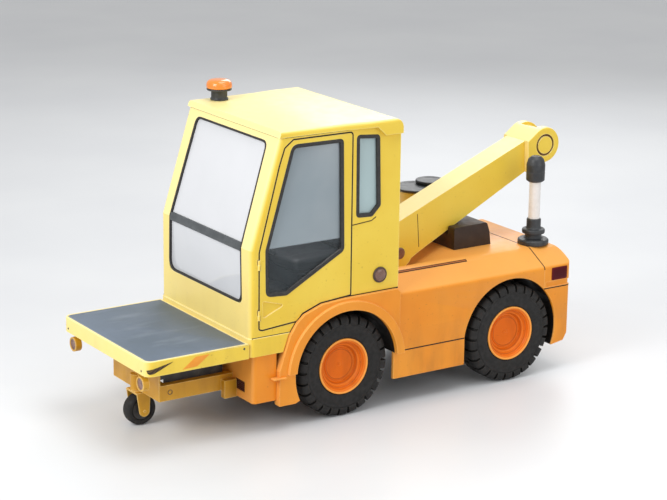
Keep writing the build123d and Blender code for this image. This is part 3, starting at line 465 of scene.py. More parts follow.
yellow_paint = paint("yellow_paint", "E9C540", "EFD050", "FFF0A8", "A88030")
orange_paint = paint("orange_paint", "E88C1C", "EE9A2E", "FFC878", "A86424")
finishes = {
    "yellow_paint": lined(lit_up_and_ahead(yellow_paint, "FFF6C4", 0.55)),
    "orange_paint": darkened_hollows(lit_up_and_ahead(orange_paint, "F8C478", 0.40)),
    "rim_paint": ring_shade_and_highlight(paint("rim_paint", "E26606", "E67010", "FFB45C", "8A4218", 0.42, 0.16)),
    "dark_steel": dark_metal("dark_steel", "2C2C2F", "55514B"),
    "bare_steel": dark_metal("bare_steel", "8C8C8E", "6A665F", 0.4, 0.9),
    "tyre": tyre_rubber("tyre", "110F0E", "2A2724"),
    "black_rubber": plain_rubber("black_rubber", "232120"),
    "deck_mat": mat_rubber("deck_mat", "64707F"),
    "clear_glass": glazing("clear_glass", "939EA5", 0.78),
    "black_plastic": moulded("black_plastic", "2B2D30", "45484B", 0.42),
    "orange_lens": lens("orange_lens", "E8842C", "FFB468"),
    "red_lens": lens("red_lens", "4A0812", "70141E", roughness=0.35, mirror=0.1),
    "brown_plastic": moulded("brown_plastic", "3C2B24", "6A5045", 0.38, 0.2),
    "white_tube": moulded("white_tube", "E6E1DC", "F4F1EE", 0.22, 0.4, 0.0001),
    "seat_cover": seat_cover("seat_cover", "2A2B2E"),
}
# Windscreen and quarter windows: nearly opaque glass whose pale colours are painted reflections
screen_glass = glazing("screen_glass", "DADBDE", 0.92)
quarter_glass = glazing("quarter_glass", "B6CCCE", 0.84)

# The doors' glass lets nearly all light through below this height, where the photograph shows through it
clear_glass_top = 1.210
# Above that height the doors' glass is nearly opaque and its grey-blue colour is a painted reflection
reflecting_alpha, clear_alpha = 0.84, 0.07
door_glass = glazing("door_glass", "97A3AA", reflecting_alpha)
clear_part = height_share(door_glass, clear_glass_top - 0.005, clear_glass_top + 0.005)
wire(door_glass, "Alpha", spread(door_glass, clear_part, 0.0, 1.0, reflecting_alpha, clear_alpha))

# Yellow paint made darker and dirtier for the parts under the platform: dirt, and painted shade
gear_paint_dirt_and_shade = paint("gear_paint_dirt_and_shade", "D8A22C", "C08A20", "FFE69A", "7A4E14")
cockpit_grey = moulded("cockpit_grey", "6C7072", "8A8E90", 0.5)
band_grey = moulded("band_grey", "45494B", "5A5E60", 0.45)
lamp_brown = moulded("lamp_brown", "6E4E42", "94705F", 0.25, 0.4)
stripe_orange = moulded("stripe_orange", "EC9422", "F0A038", 0.5)
slot_orange = moulded("slot_orange", "B4641C", "8E4A12", 0.5)
recess_shade_hatch = hatched("recess_shade_hatch", "2E200E", "7A5C1E")
grille_red = dark_metal("grille_red", "4A1C18", "6A3A2C")
ring_brown = moulded("ring_brown", "5A3A10", "7A5218", 0.6)
joint_and_gap_shade = moulded("joint_and_gap_shade", "180E08", "2A1A10", 0.8)
winch_black = moulded("winch_black", "2A1D16", "3E2E24", 0.5)


# Surfaces
def placed(points):
    """Points given ahead of the middle of the wheelbase, shifted into the frame."""
    return points + mid_x * ahead


def own_middle(node):
    """Middle of a CAD node's box, given ahead of the middle of the wheelbase."""
    return middle(node) - mid_x * ahead


def both_sides(sheet):
    """A sheet and its twin on the vehicle's other side."""
    grid, *rest = sheet
    return [sheet, (grid * np.array([1.0, -1.0, 1.0]), *rest)]


def grid_quads(rows, columns, wrap_rows, wrap_columns):
    """Corner numbers of the quads between neighbouring points of a grid of rows and columns."""
    row, column = np.meshgrid(np.arange(rows - (not wrap_rows)), np.arange(columns - (not wrap_columns)),
                              indexing="ij")
    row_next, column_next = (row + 1) % rows, (column + 1) % columns
    corners = (row * columns + column, row * columns + column_next,
               row_next * columns + column_next, row_next * columns + column)
    return np.stack(corners, axis=-1).reshape(-1, 4)


def piece(name, body, slot, sheets, finish=None, replaces=(), sharp=38, edge=0.0):
    """One object from sheets of (grid of points, rows wrap, columns wrap, flat ends)."""
    points, faces, start = [], [], 0
    for grid, wrap_rows, wrap_columns, flat_ends in sheets:
        rows, columns = grid.shape[:2]
        points.append(placed(grid).reshape(-1, 3))
        faces += (grid_quads(rows, columns, wrap_rows, wrap_columns) + start).tolist()
        if flat_ends:
            faces += [list(range(start, start + columns)),
                      list(range(start + (rows - 1) * columns, start + rows * columns))]
        start += rows * columns
    mesh = bpy.data.meshes.new(name)
    mesh.from_pydata(np.concatenate(points).tolist(), [], faces)
    work = bmesh.new()
    work.from_mesh(mesh)
    bmesh.ops.remove_doubles(work, verts=work.verts, dist=same_place)
    bmesh.ops.dissolve_degenerate(work, edges=work.edges, dist=same_place)
    bmesh.ops.recalc_face_normals(work, faces=work.faces)
    work.to_mesh(mesh)
    work.free()
    return shown(name, mesh, body, slot, finish, replaces, sharp, edge)


def shown(name, mesh, body, slot, finish, replaces, sharp, edge):
    """Link a mesh as a piece that rides a body, smooth but for its sharp edges. Where an edge width is
    given, a bevel that wide rounds them."""
    mesh.polygons.foreach_set("use_smooth", np.ones(len(mesh.polygons), dtype=bool))
    mesh.set_sharp_from_angle(angle=np.radians(sharp))
    mesh.materials.clear()
    mesh.materials.append(finish or finishes[slot])
    made = bpy.data.objects.new(name, mesh)
    bpy.context.scene.collection.objects.link(made)
    if edge:
        rounding = made.modifiers.new("edges", "BEVEL")
        rounding.width = edge
        rounding.segments = 2
        rounding.limit_method = "ANGLE"
        rounding.angle_limit = np.radians(bend_limit)
        rounding.harden_normals = True
    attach(made, body)
    if replaces:
        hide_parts(*replaces)
    return made


def dressed(node, edge, finish=None):
    """A CAD node's own shape, its loose triangles joined into faces and its edges rounded."""
    mesh = frame["nodes"][node].data.copy()
    work = bmesh.new()
    work.from_mesh(mesh)
    bmesh.ops.remove_doubles(work, verts=work.verts, dist=10 * same_place)
    bmesh.ops.dissolve_limit(work, angle_limit=np.radians(0.8), verts=work.verts, edges=work.edges)
    work.to_mesh(mesh)
    work.free()
    return shown(f"{node}_shell", mesh, body_of[node], slot_of[node], finish, [node], bend_limit, edge)


def rectangle(x0, y0, x1, y1):
    """The four corners of a rectangle, counter-clockwise from its low corner."""
    return [(x0, y0), (x1, y0), (x1, y1), (x0, y1)]


def softened(points, cut, steps=5, closed=True):
    """Each corner of an outline turned into a quadratic curve that starts and ends cut before and after it,
    or just short of the middle of a shorter side. An open outline keeps its two ends, and points that
    repeat are left out of it."""
    points = np.asarray(points, float)
    cut = np.broadcast_to(np.asarray(cut, float), (len(points),))[:, None]
    longest_cut = 0.48
    ends = []
    for turn in (1, -1):
        side = np.roll(points, turn, axis=0) - points
        length = np.linalg.norm(side, axis=1, keepdims=True)
        ends.append(points + side / length * np.minimum(cut, longest_cut * length))
    start, end = ends
    t = np.linspace(0, 1, steps)[None, :, None]
    curves = (1 - t) ** 2 * start[:, None] + 2 * t * (1 - t) * points[:, None] + t ** 2 * end[:, None]
    if closed:
        return curves.reshape(-1, points.shape[1])
    curves[0], curves[-1] = points[0], points[-1]
    line = curves.reshape(-1, points.shape[1])
    fresh = np.linalg.norm(np.diff(line, axis=0), axis=1) > same_place
    return line[np.concatenate(([True], fresh))]


def cornered(points, radius, steps=7):
    """An outline whose corners are turned into curves as long as arcs of the radius would be."""
    points = np.asarray(points, float)
    before = points - np.roll(points, 1, axis=0)
    after = np.roll(points, -1, axis=0) - points
    turn = np.arctan2(after[:, 1], after[:, 0]) - np.arctan2(before[:, 1], before[:, 0])
    bend = (turn + np.pi) % (2 * np.pi) - np.pi
    return softened(points, radius * np.tan(np.abs(bend) / 2), steps)


def dense(loop, spacing):
    """A closed outline resampled to even steps along its length."""
    closed = np.concatenate((loop, loop[:1]))
    along = np.concatenate(([0], np.cumsum(np.linalg.norm(np.diff(closed, axis=0), axis=1))))
    marks = np.linspace(0, along[-1], int(along[-1] / spacing), endpoint=False)
    return np.stack([np.interp(marks, along, closed[:, k]) for k in (0, 1)], axis=1)


def inward(loop):
    """For each point of a closed outline, the step that moves both of its sides in by one unit."""
    side = np.roll(loop, -1, axis=0) - loop
    side = side / np.maximum(np.linalg.norm(side, axis=1, keepdims=True), 1e-9)
    normal = np.stack((-side[:, 1], side[:, 0]), axis=1)
    area = np.sum(loop[:, 0] * np.roll(loop[:, 1], -1) - np.roll(loop[:, 0], -1) * loop[:, 1])
    normal = normal * np.sign(area)
    back = np.roll(normal, 1, axis=0)
    return (normal + back) / (1 + np.sum(normal * back, axis=1, keepdims=True))


def inset(loop, distance):
    """A closed outline with each side moved in by distance."""
    return loop + inward(loop) * distance


def slab(loop, thickness, edge, origin, u, v, steps=4):
    """A plate on an outline: rings that step in by edge times one minus the sine of an angle while they
    rise by edge times one minus its cosine, up one rim and down the other. It grows along u cross v."""
    angle = np.linspace(0, np.pi / 2, steps)
    step_in = edge * (1 - np.sin(angle))
    rise = edge * (1 - np.cos(angle))
    insets = np.concatenate((step_in, step_in[::-1]))
    heights = np.concatenate((rise, (thickness - rise)[::-1]))
    rings = loop[None] + insets[:, None, None] * inward(loop)[None]
    grid = (np.asarray(origin) + rings[..., :1] * u + rings[..., 1:] * v
            + heights[:, None, None] * np.cross(u, v))
    return grid, False, True, True


def turned(profile, centre, axis, turns=64, wrap_rows=False):
    """A profile of (radius, distance along the axis) carried round the axis through the centre."""
    profile = np.asarray(profile, float)
    first = np.cross(axis, upward if abs(axis[2]) < 0.9 else ahead)
    first = first / np.linalg.norm(first)
    second = np.cross(axis, first)
    angle = np.linspace(0, 2 * np.pi, turns, endpoint=False)[None, :, None]
    ring = np.cos(angle) * first + np.sin(angle) * second
    grid = np.asarray(centre) + profile[:, None, :1] * ring + profile[:, None, 1:] * np.asarray(axis)
    return grid, wrap_rows, True, False


def soft_turned(profile, cut, steps, centre, axis, turns=64):
    """An open profile with its corners softened first, then carried round the axis."""
    return turned(softened(profile, cut, steps, closed=False), centre, axis, turns)


def carried(section, path, up, closed=False):
    """A closed section of (sideways, upwards) points carried along a path. Sideways is square to the
    path and to up, and up is first made square to the path."""
    path = np.asarray(path, float)
    if closed:
        along = np.roll(path, -1, axis=0) - np.roll(path, 1, axis=0)
    else:
        along = np.gradient(path, axis=0)
    along = along / np.linalg.norm(along, axis=1, keepdims=True)
    sideways = np.cross(along, np.broadcast_to(up, path.shape))
    sideways = sideways / np.linalg.norm(sideways, axis=1, keepdims=True)
    upwards = np.cross(sideways, along)
    section = np.asarray(section, float)
    grid = path[:, None] + section[None, :, :1] * sideways[:, None] + section[None, :, 1:] * upwards[:, None]
    return grid, closed, True, not closed


def rod(start, end, radius, sides=16):
    """A round bar with slightly domed ends between two points."""
    start, end = np.asarray(start, float), np.asarray(end, float)
    length = np.linalg.norm(end - start)
    soft = 0.18 * radius
    profile = [(0, 0), (radius - soft, 0), (radius, soft),
               (radius, length - soft), (radius - soft, length), (0, length)]
    return turned(profile, start, (end - start) / length, sides)


def block(low, high, edge, steps=4):
    """A box between two corners with all its edges rounded, as a slab on its plan."""
    (x0, y0, z0), (x1, y1, z1) = low, high
    plan = softened(rectangle(x0, y0, x1, y1), edge, steps)
    return slab(plan, z1 - z0, edge * 0.98, (0, 0, z0), ahead, left, steps)


def oval(width, height, corner, steps=5):
    """Section for carried(): a rectangle about zero with soft corners."""
    w, h = width / 2, height / 2
    return softened(rectangle(-w, -h, w, h), corner, steps)


# Tyres and rims
def tyre_grid(centre, face):
    """Each point lies between two sections, the carcass and the top of the lugs. Its share of the lug
    section depends on the angle round the axle: 0 in a groove, 1 on a lug, with a short slope between.
    The two shoulders are half a pitch apart, and the angle is skewed with the distance from the middle,
    which sets the lugs' sides slanting."""
    sidewall = [
        (0.187, 0.070), (0.189, 0.081), (0.197, 0.0885), (0.205, 0.0895), (0.212, 0.0915), (0.236, 0.0930),
        (0.258, 0.0925), (0.266, 0.0922), (0.269, 0.0936), (0.277, 0.0936), (0.280, 0.0912),
    ]
    carcass = np.array(sidewall + [
        (0.287, 0.0900), (0.290, 0.0800), (0.297, 0.0780), (0.307, 0.0720), (0.3150, 0.0620),
        (0.3235, 0.0480), (0.3255, 0.0250), (0.3265, 0.0090), (0.3285, 0.0060), (0.3285, 0.0),
    ])
    lugs = np.array(sidewall + [
        (0.286, 0.0905), (0.289, 0.0945), (0.296, 0.0955), (0.3120, 0.0935), (0.3320, 0.0825),
        (0.3390, 0.0660), (0.3400, 0.0300), (0.3400, 0.0105), (0.3370, 0.0070), (0.3285, 0.0),
    ])
    half_section = len(carcass)
    twin = np.array([1.0, -1.0])
    carcass = np.concatenate((carcass, (carcass * twin)[-2::-1]))
    lugs = np.concatenate((lugs, (lugs * twin)[-2::-1]))
    groove_half, lug_slope = 0.100, 0.032
    bank = groove_half + np.array([0.0, 0.011, 0.021, lug_slope])
    groove = np.concatenate((-bank[::-1], [0.0], bank))
    fractions = np.concatenate((groove, [0.25], groove + 0.5, [0.75]))
    pitch = (np.arange(lug_pairs)[:, None] + fractions[None]).ravel()
    offset = np.where(np.arange(len(carcass)) < half_section, 0.0, 0.5)
    from_groove = np.abs((pitch[None] - offset[:, None] + 0.5) % 1 - 0.5)
    share = np.clip((from_groove - groove_half) / lug_slope, 0, 1)
    share = share * share * (3 - 2 * share)
    section = carcass[:, None] + share[..., None] * (lugs - carcass)[:, None]
    lug_skew, straight_from = 0.14, 0.75
    skew = lug_skew * np.clip(straight_from - np.abs(carcass[:, 1]) / tyre_half, 0, 1)
    angle = (pitch[None] + skew[:, None]) * 2 * np.pi / lug_pairs
    radius, sideways = section[..., 0], section[..., 1] * face
    grid = np.stack((radius * np.cos(angle), sideways, radius * np.sin(angle)), axis=-1)
    return grid + centre, True, True, False


def rim_grid(centre, face):
    """A dished rim turned about the axle: nub, flat disc, stepped rings and a rolled lip on the outer
    side, then the barrel and the back of the disc. Depths count inwards from the lip's face."""
    outer = [
        (0.0, 0.0535), (0.009, 0.0535), (0.0115, 0.056), (0.013, 0.0605), (0.027, 0.0608), (0.030, 0.0625),
        (0.097, 0.0625), (0.101, 0.0600), (0.106, 0.0585), (0.110, 0.0605), (0.114, 0.0665), (0.120, 0.0665),
        (0.127, 0.0500), (0.132, 0.0455), (0.139, 0.0445), (0.146, 0.0320), (0.150, 0.0285), (0.157, 0.0270),
        (0.163, 0.0130), (0.167, 0.0100), (0.1715, 0.0092), (0.1745, 0.0040), (0.1800, 0.0002), (0.1845, 0.0),
        (0.1878, 0.0030), (0.1878, 0.0100), (0.1830, 0.0160), (0.1810, 0.0300), (0.1810, 0.1400),
        (0.1870, 0.1560), (0.1870, 0.1640), (0.1790, 0.1640), (0.1750, 0.1560), (0.1730, 0.0900),
        (0.1400, 0.0800), (0.0640, 0.0780), (0.0580, 0.0850), (0.0560, 0.1140), (0.0, 0.1140),
    ]
    lip_set_back = 0.004
    profile = softened(outer, 0.0016, 3, closed=False)
    distance = (wheel_face - lip_set_back - profile[:, 1]) * face
    radius_and_place = np.stack((profile[:, 0], distance), axis=1)
    return turned(radius_and_place, centre * np.array([1.0, 0.0, 1.0]), left, 72)


for end in ("front", "rear"):
    for hand, face in (("left", 1), ("right", -1)):
        corner = f"{end}_{hand}"
        axle_end = own_middle(f"tyre_{corner}")
        piece(f"tread_{corner}", f"wheel_{corner}", "tyre", [tyre_grid(axle_end, face)],
              replaces=[f"tyre_{corner}"], sharp=50)
        piece(f"dish_{corner}", f"wheel_{corner}", "rim_paint", [rim_grid(axle_end, face)],
              replaces=[f"rim_{corner}"], sharp=50)

# Pieces that keep their CAD shape, with joined faces and rounded edges
for node, edge in (
    ("cab_shell", 0.004), ("door_left", 0.003), ("door_right", 0.003), ("roof", 0.010),
    ("front_fenders", 0.003), ("front_sill", 0.004), ("front_box", 0.004), ("rear_body", 0.003),
    ("rear_cap", 0.003), ("side_skirts", 0.003), ("deck_tray", 0.004), ("boom", 0.008),
    ("boom_pedestal", 0.004), ("chassis_frame", 0.003), ("front_axle", 0.003), ("rear_axle", 0.003),
    ("knuckle_left", 0.002), ("knuckle_right", 0.002), ("tie_rod", 0.001), ("drive_unit", 0.006),
    ("cab_floor", 0.003), ("tow_hitch", 0.003),
):
    dressed(node, edge)
for node, edge in (("subframe", 0.004), ("caster_fork", 0.003), ("lamp_pods", 0.002)):
    dressed(node, edge, gear_paint_dirt_and_shade)
dressed("caster_hub", 0.002, finishes["dark_steel"])
dressed("winch_box", 0.005, winch_black)
dressed("dashboard", 0.008, cockpit_grey)


# Side windows
def side_gasket(loop):
    """A soft rectangular section carried round a side window's outline."""
    path = np.insert(inset(loop, gasket_inset), 1, cab_half - gasket_sunk, axis=1)
    return carried(wide_rubber, path, left, closed=True)


def pane(loop, origin, u, v):
    """Flat glass on an outline."""
    return slab(loop, pane_thickness, pane_rim, origin, u, v)


def side_pane(loop):
    """Flat glass within a side window's outline."""
    return pane(inset(loop, pane_inset), (0, cab_half - pane_sunk, 0), ahead, upward)


wide_rubber, narrow_rubber = oval(0.026, 0.022, 0.006), oval(0.015, 0.022, 0.005)
door_loop = cornered(door_window, np.array([0.060, 0.030, 0.044, 0.030, 0.044, 0.060]))
quarter_loop = cornered(quarter_window, 0.028)
for hand, gasket, glass in zip(("left", "right"), both_sides(side_gasket(door_loop)),
                               both_sides(side_pane(door_loop))):
    piece(f"door_gasket_{hand}", f"door_{hand}", "black_rubber", [gasket], replaces=[f"door_seal_{hand}"])
    piece(f"door_pane_{hand}", f"door_{hand}", "clear_glass", [glass], replaces=[f"door_glass_{hand}"],
          finish=door_glass)


# Windscreen: upper leaning pane, lower upright pane, gasket and the band between them
def lean_face(z):
    """Distance ahead of the cab's front at height z: upright to the kink, leaning back above it."""
    return cab_front - np.maximum(z - kink_z, 0) * np.tan(screen_lean)


def screen_half(z):
    """Half width of the windscreen at height z."""
    share = (z - screen_low) / (screen_high - screen_low)
    return screen_low_half + share * (screen_high_half - screen_low_half)


screen_corners = [(-screen_low_half, screen_low), (screen_low_half, screen_low),
                  (screen_high_half, screen_high), (-screen_high_half, screen_high)]
low_corner_radius, high_corner_radius, square_corner = 0.080, 0.055, 0.001
screen_loop = cornered(screen_corners, np.array([low_corner_radius] * 2 + [high_corner_radius] * 2))
gasket_y, gasket_z = dense(inset(screen_loop, screen_gasket_inset), 0.012).T
screen_path = np.stack((lean_face(gasket_z) - gasket_sunk, gasket_y, gasket_z), axis=1)
leaning = np.where(gasket_z > kink_z, 1.0, 0.0)[:, None]
screen_outward = leaning * np.cross(left, lean_up) + (1 - leaning) * ahead
rear_corners = rectangle(-rear_window_half, rear_window_low, rear_window_half, rear_window_high)
rear_loop = softened(rear_corners, 0.042, 7)
rear_path = np.insert(inset(rear_loop, gasket_inset), 0, cab_rear + gasket_sunk, axis=1)
piece("cab_gaskets", "chassis", "black_rubber",
      [carried(narrow_rubber, screen_path, screen_outward, closed=True),
       carried(wide_rubber, rear_path, -ahead, closed=True)]
      + both_sides(side_gasket(quarter_loop)), replaces=["cab_seals"])

band_half = screen_half(kink_z) - 0.012
band_proud, band_sunk, band_corner = 0.003, 0.022, 0.003
band_outer = [(lean_face(z) + band_proud, z) for z in (band_low, kink_z, band_high)]
band_inner = [(lean_face(z) - band_sunk, z) for z in (band_high, kink_z, band_low)]
band_section = softened(band_outer + band_inner, band_corner, 3)
band_grid = np.stack([np.insert(band_section, 1, y, axis=1) for y in (-band_half, band_half)])
piece("screen_band", "chassis", "black_plastic", [(band_grid, False, True, True)], edge=0.002,
      finish=band_grey)

lean_length = (screen_high - kink_z) / np.cos(screen_lean)
band_high_half, band_low_half = screen_half(band_high), screen_half(band_low)
behind_band = 0.02
upper_corners = [(-band_high_half, behind_band), (band_high_half, behind_band),
                 (screen_high_half, lean_length), (-screen_high_half, lean_length)]
upper_loop = softened(upper_corners, (square_corner,) * 2 + (high_corner_radius,) * 2, 7)
lower_corners = [(-screen_low_half, screen_low), (screen_low_half, screen_low),
                 (band_low_half, band_low + behind_band / 2), (-band_low_half, band_low + behind_band / 2)]
lower_loop = softened(lower_corners, (low_corner_radius,) * 2 + (square_corner,) * 2, 7)
piece("windscreen", "chassis", "clear_glass",
      [pane(inset(upper_loop, screen_pane_inset), (cab_front - screen_pane_sunk, 0, kink_z), left, lean_up),
       pane(inset(lower_loop, screen_pane_inset), (cab_front - screen_pane_sunk, 0, 0), left, upward)],
      finish=screen_glass, replaces=["cab_glass"])
piece("quarter_panes", "chassis", "clear_glass", both_sides(side_pane(quarter_loop)), finish=quarter_glass)
piece("rear_pane", "chassis", "clear_glass",
      [pane(inset(rear_loop, pane_inset), (cab_rear + pane_sunk, 0, 0), left, upward)])

# Load mat: a thin rounded sheet that fills the tray
mat_low, mat_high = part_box("deck_mat")
mat_corners = rectangle(mat_low[0] - mid_x, mat_low[1], mat_high[0] - mid_x, mat_high[1])
mat_rear_cut, mat_front_cut = 0.004, 0.045
mat_loop = softened(mat_corners, (mat_rear_cut, mat_front_cut, mat_front_cut, mat_rear_cut), 7)
mat_thickness, mat_edge = mat_high[2] - mat_low[2] + 0.0005, 0.002
piece("load_mat", "chassis", "deck_mat",
      [slab(mat_loop, mat_thickness, mat_edge, (0, 0, mat_low[2]), ahead, left)], replaces=["deck_mat"])

# Beacon: stem and foot with its dark collar, and the domed lens
beacon_foot = own_middle("beacon_base")
beacon_foot[2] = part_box("roof")[1][2]
stem = [(0, 0), (0.060, 0), (0.060, 0.010), (0.054, 0.016), (0.054, 0.060), (0.083, 0.066), (0.084, 0.078),
        (0.0, 0.079)]
beacon_lens = [(0, 0.0785), (0.080, 0.0785), (0.086, 0.084), (0.086, 0.112), (0.066, 0.136), (0, 0.140)]
piece("beacon_stem", "chassis", "black_plastic", [soft_turned(stem, 0.003, 4, beacon_foot, upward)],
      replaces=["beacon_base"])
piece("beacon_lens", "chassis", "orange_lens",
      [soft_turned(beacon_lens, (0, 0.002, 0.002, 0.018, 0.03, 0), 7, beacon_foot, upward)],
      replaces=["beacon_dome"])

# Round lamps on the cab's rear corners: bezel and domed lens
side_lamp = np.array([0.419, cab_half, 0.925])
bezel = [(0, 0), (0.053, 0), (0.053, 0.008), (0.049, 0.012), (0.044, 0.012), (0.042, 0.009), (0, 0.009)]
dome_radius, dome_start, dome_height = 0.043, 0.008, 0.0135
dome_angle = np.linspace(0, np.pi / 2, 10)
dome = np.stack((dome_radius * np.cos(dome_angle), dome_start + dome_height * np.sin(dome_angle)), axis=1)
dome_and_back = np.concatenate(([(0, dome_start / 2), (dome_radius, dome_start / 2)], dome))
piece("lamp_bezels", "chassis", "brown_plastic",
      both_sides(soft_turned(bezel, 0.002, 4, side_lamp, left, 48)), replaces=["side_lamps"])
piece("lamp_domes", "chassis", "brown_plastic", both_sides(turned(dome_and_back, side_lamp, left, 48)),
      finish=lamp_brown)

# Tail lights: one lens on each rear corner, proud of the body
tail_low, tail_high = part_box("tail_lights")
tail_corners = rectangle(tail_low[0] - mid_x, tail_low[2], tail_high[0] - mid_x, tail_high[2])
tail_loop = softened(tail_corners, 0.008, 4)
lens_thickness, lens_edge, lens_proud = 0.006, 0.002, 0.005
piece("tail_lenses", "chassis", "red_lens",
      both_sides(slab(tail_loop, lens_thickness, lens_edge, (0, cab_half + lens_proud, 0), ahead, upward)),
      replaces=["tail_lights"])


# Seams: thin dark strips along the joints between the panels, which also paint the shade in the gaps, under
# the roof's edge, below the quarter windows' surrounds and in the shoulder slots
def seam(points, up, width=0.005, closed=False):
    """A flat strip carried along a joint, its broad face square to the direction up."""
    seam_depth, seam_corner = 0.0026, 0.0008
    return carried(oval(width, seam_depth, seam_corner, 3), points, up, closed)


def outwards_of(path):
    """Directions square to an outline's own run, to its right."""
    along = np.gradient(path, axis=0)
    return np.stack((along[:, 1], -along[:, 0]), axis=1)


side_face = cab_half + 0.0002
let_in = 0.0006
fender_seam = [(x, side_face, z) for x, z in ((0.272, 0.8165), (0.684, 0.8135), (0.870, 0.8005),
                                              (1.005, 0.7515), (1.060, 0.7045), (1.100, 0.6465))]
sill_seam = [(x, side_face, 0.6455) for x in (1.100, 1.250, 1.385)]
window_seam = [(x, side_face, z) for x, z in ((0.636, 1.285), (0.490, 1.297), (0.455, 1.318))]
skirt_seam = [(x, 0.5663, 0.3705) for x in (-0.290, 0.285)]
roof_seam = [(x, cab_half - let_in, cab_top - 0.001) for x in (0.470, 0.700, 0.900, 1.150)]
roof_cross_seam = [(1.1838, y, cab_top - 0.001) for y in (-0.545, 0.545)]

# The rear cap's seams: over the body at the cap's front edge, and level round the tail under it
body_section = softened([(cab_half, 0.500), (cab_half, 0.768), (0.425, 0.852), (0.390, 0.870), (0.0, 0.870)],
                        (0, 0.0163, 0.001, 0.001, 0), 9, closed=False)
cap_outline = body_section[body_section[:, 1] > cap_seam_z + 0.001]
cap_path = np.insert(cap_outline - let_in, 0, cap_seam_x, axis=1)
cap_out = np.insert(outwards_of(cap_outline), 0, 0.0, axis=1)
tail_side, tail_end = cab_half - 0.0005, body_rear + 0.0005
tail_outline = softened([(cap_seam_x, tail_side), (tail_end, tail_side), (tail_end, 0.0)], 0.046, 9,
                        closed=False)
tail_path = np.insert(tail_outline, 2, cap_seam_z, axis=1)
tail_out = np.insert(outwards_of(tail_outline), 2, 0.0, axis=1)

# Long slots beside the sunk deck, with a bar in each, on the body's sloping shoulders: each slot is a dark
# strip that paints the shade inside it
slot_y, slot_z = 0.4085, 0.8604
slot_out = np.array([0.0, 0.457, 0.889])
slot_line = [(x, slot_y, slot_z) for x in (-0.408, 0.250)]
bar_line = np.array([(x, slot_y, slot_z) for x in (-0.402, 0.250)]) + 0.0008 * slot_out

side_seams = (
    (fender_seam, left, 0.009), (sill_seam, left, 0.007), (skirt_seam, left, 0.008), (roof_seam, left, 0.006),
    (window_seam, left, 0.006), (cap_path, cap_out, 0.008), (tail_path, tail_out, 0.008),
    (slot_line, slot_out, 0.024),
)
piece("panel_seams", "chassis", "black_plastic",
      [twin for line, out, width in side_seams for twin in both_sides(seam(line, out, width))]
      + [seam(roof_cross_seam, ahead)], finish=joint_and_gap_shade)
piece("slot_bars", "chassis", "orange_paint", both_sides(seam(bar_line, slot_out, 0.009)), finish=slot_orange)

# Dark strip round each door, which swings with it, painting the shade of the door's gap
door_edge = softened([(1.330, 0.700), (1.330, 1.200), (1.184, 1.741), (1.147, 1.846), (1.086, 1.892),
                      (0.655, 1.892), (0.645, 1.880), (0.645, 0.824), (0.690, 0.820), (0.874, 0.806),
                      (1.010, 0.757), (1.052, 0.712), (1.308, 0.693)], 0.006, 4)
door_gap_shade = np.insert(inset(door_edge, -0.003), 1, cab_half - 0.0002, axis=1)
for hand, lip in zip(("left", "right"), both_sides(seam(door_gap_shade, left, 0.0095, closed=True))):
    piece(f"door_gap_shade_{hand}", f"door_{hand}", "black_rubber", [lip], finish=joint_and_gap_shade)

# Boom: the upright seam on each side of its foot, the pin with its covers and dark rings laid in the head's
# grooves as painted shade
pivot = np.array([-0.073, 0.0, 0.882])
boom_angle = np.radians(27.6)
boom_reach = 1.3544
head = pivot + boom_reach * np.array([-np.cos(boom_angle), 0.0, np.sin(boom_angle)])
head_face, ring_depth = 0.1320, 0.0015
piece("boom_seams", "boom", "yellow_paint",
      both_sides(seam([(-0.214, 0.1002, 1.141), (-0.231, 0.1002, 0.906)], left)), finish=ring_brown)
pin_cover = [(0, 0.100), (0.041, 0.100), (0.041, 0.104), (0.034, 0.1085), (0, 0.109)]
pin = [(0, -0.1), (0.0295, -0.1), (0.0295, 0.1), (0, 0.1)]
piece("pivot_covers", "chassis", "brown_plastic",
      both_sides(soft_turned(pin_cover, 0.002, 4, pivot, left, 48)) + [turned(pin, pivot, left, 48)],
      replaces=["boom_pin"], finish=lamp_brown)
groove_fills = [turned(rectangle(low, head_face - ring_depth, high, head_face), head, left, wrap_rows=True)
                for low, high in ((0.0625, 0.0775), (0.0520, 0.0560))]
piece("head_rings", "boom", "black_plastic", [side for fill in groove_fills for side in both_sides(fill)],
      finish=ring_brown)

# Column cap: a shallow black dish with a rolled rim, and a smaller one beside it
column = np.array([-0.470, -0.280, 1.200])
small_column = column + np.array([-0.150, -0.040, 0.012])
dish = [(0, 0), (0.124, 0), (0.152, 0.008), (0.160, 0.018), (0.157, 0.0255), (0.148, 0.0255), (0.120, 0.0185),
        (0, 0.0175)]
small_dish = [(0, 0), (0.070, 0), (0.098, 0.008), (0.105, 0.022), (0.102, 0.0335), (0.094, 0.0335),
              (0.072, 0.0270), (0, 0.0260)]
piece("column_dish", "chassis", "black_plastic",
      [soft_turned(dish, 0.004, 4, column, upward, 72),
       soft_turned(small_dish, 0.004, 4, small_column, upward)], replaces=["column_cap"])

# Light post: flange, stacked collars, white tube and domed cap, all drawn on the post's own foot and
# stood on the deck. In the photograph it is about 85 mm taller than the CAD post.
post_foot = own_middle("post_tube")
post_foot[2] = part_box("post_fittings")[0][2]
collar_top, tube_top, cap_top = 0.180, 0.440, 0.625
collars = [
    (0, 0), (0.108, 0), (0.108, 0.028), (0.100, 0.036), (0.066, 0.040), (0.058, 0.048), (0.058, 0.072),
    (0.078, 0.076), (0.080, 0.084), (0.080, 0.098), (0.076, 0.106), (0.056, 0.110), (0.050, 0.118),
    (0.050, collar_top - 0.008), (0.046, collar_top), (0, collar_top),
]
post_cap = [(0, tube_top), (0.048, tube_top), (0.056, tube_top + 0.006), (0.064, tube_top + 0.012),
            (0.065, tube_top + 0.070), (0.0635, tube_top + 0.074), (0.065, tube_top + 0.078),
            (0.065, cap_top - 0.062), (0.054, cap_top - 0.024), (0.032, cap_top - 0.004), (0, cap_top)]
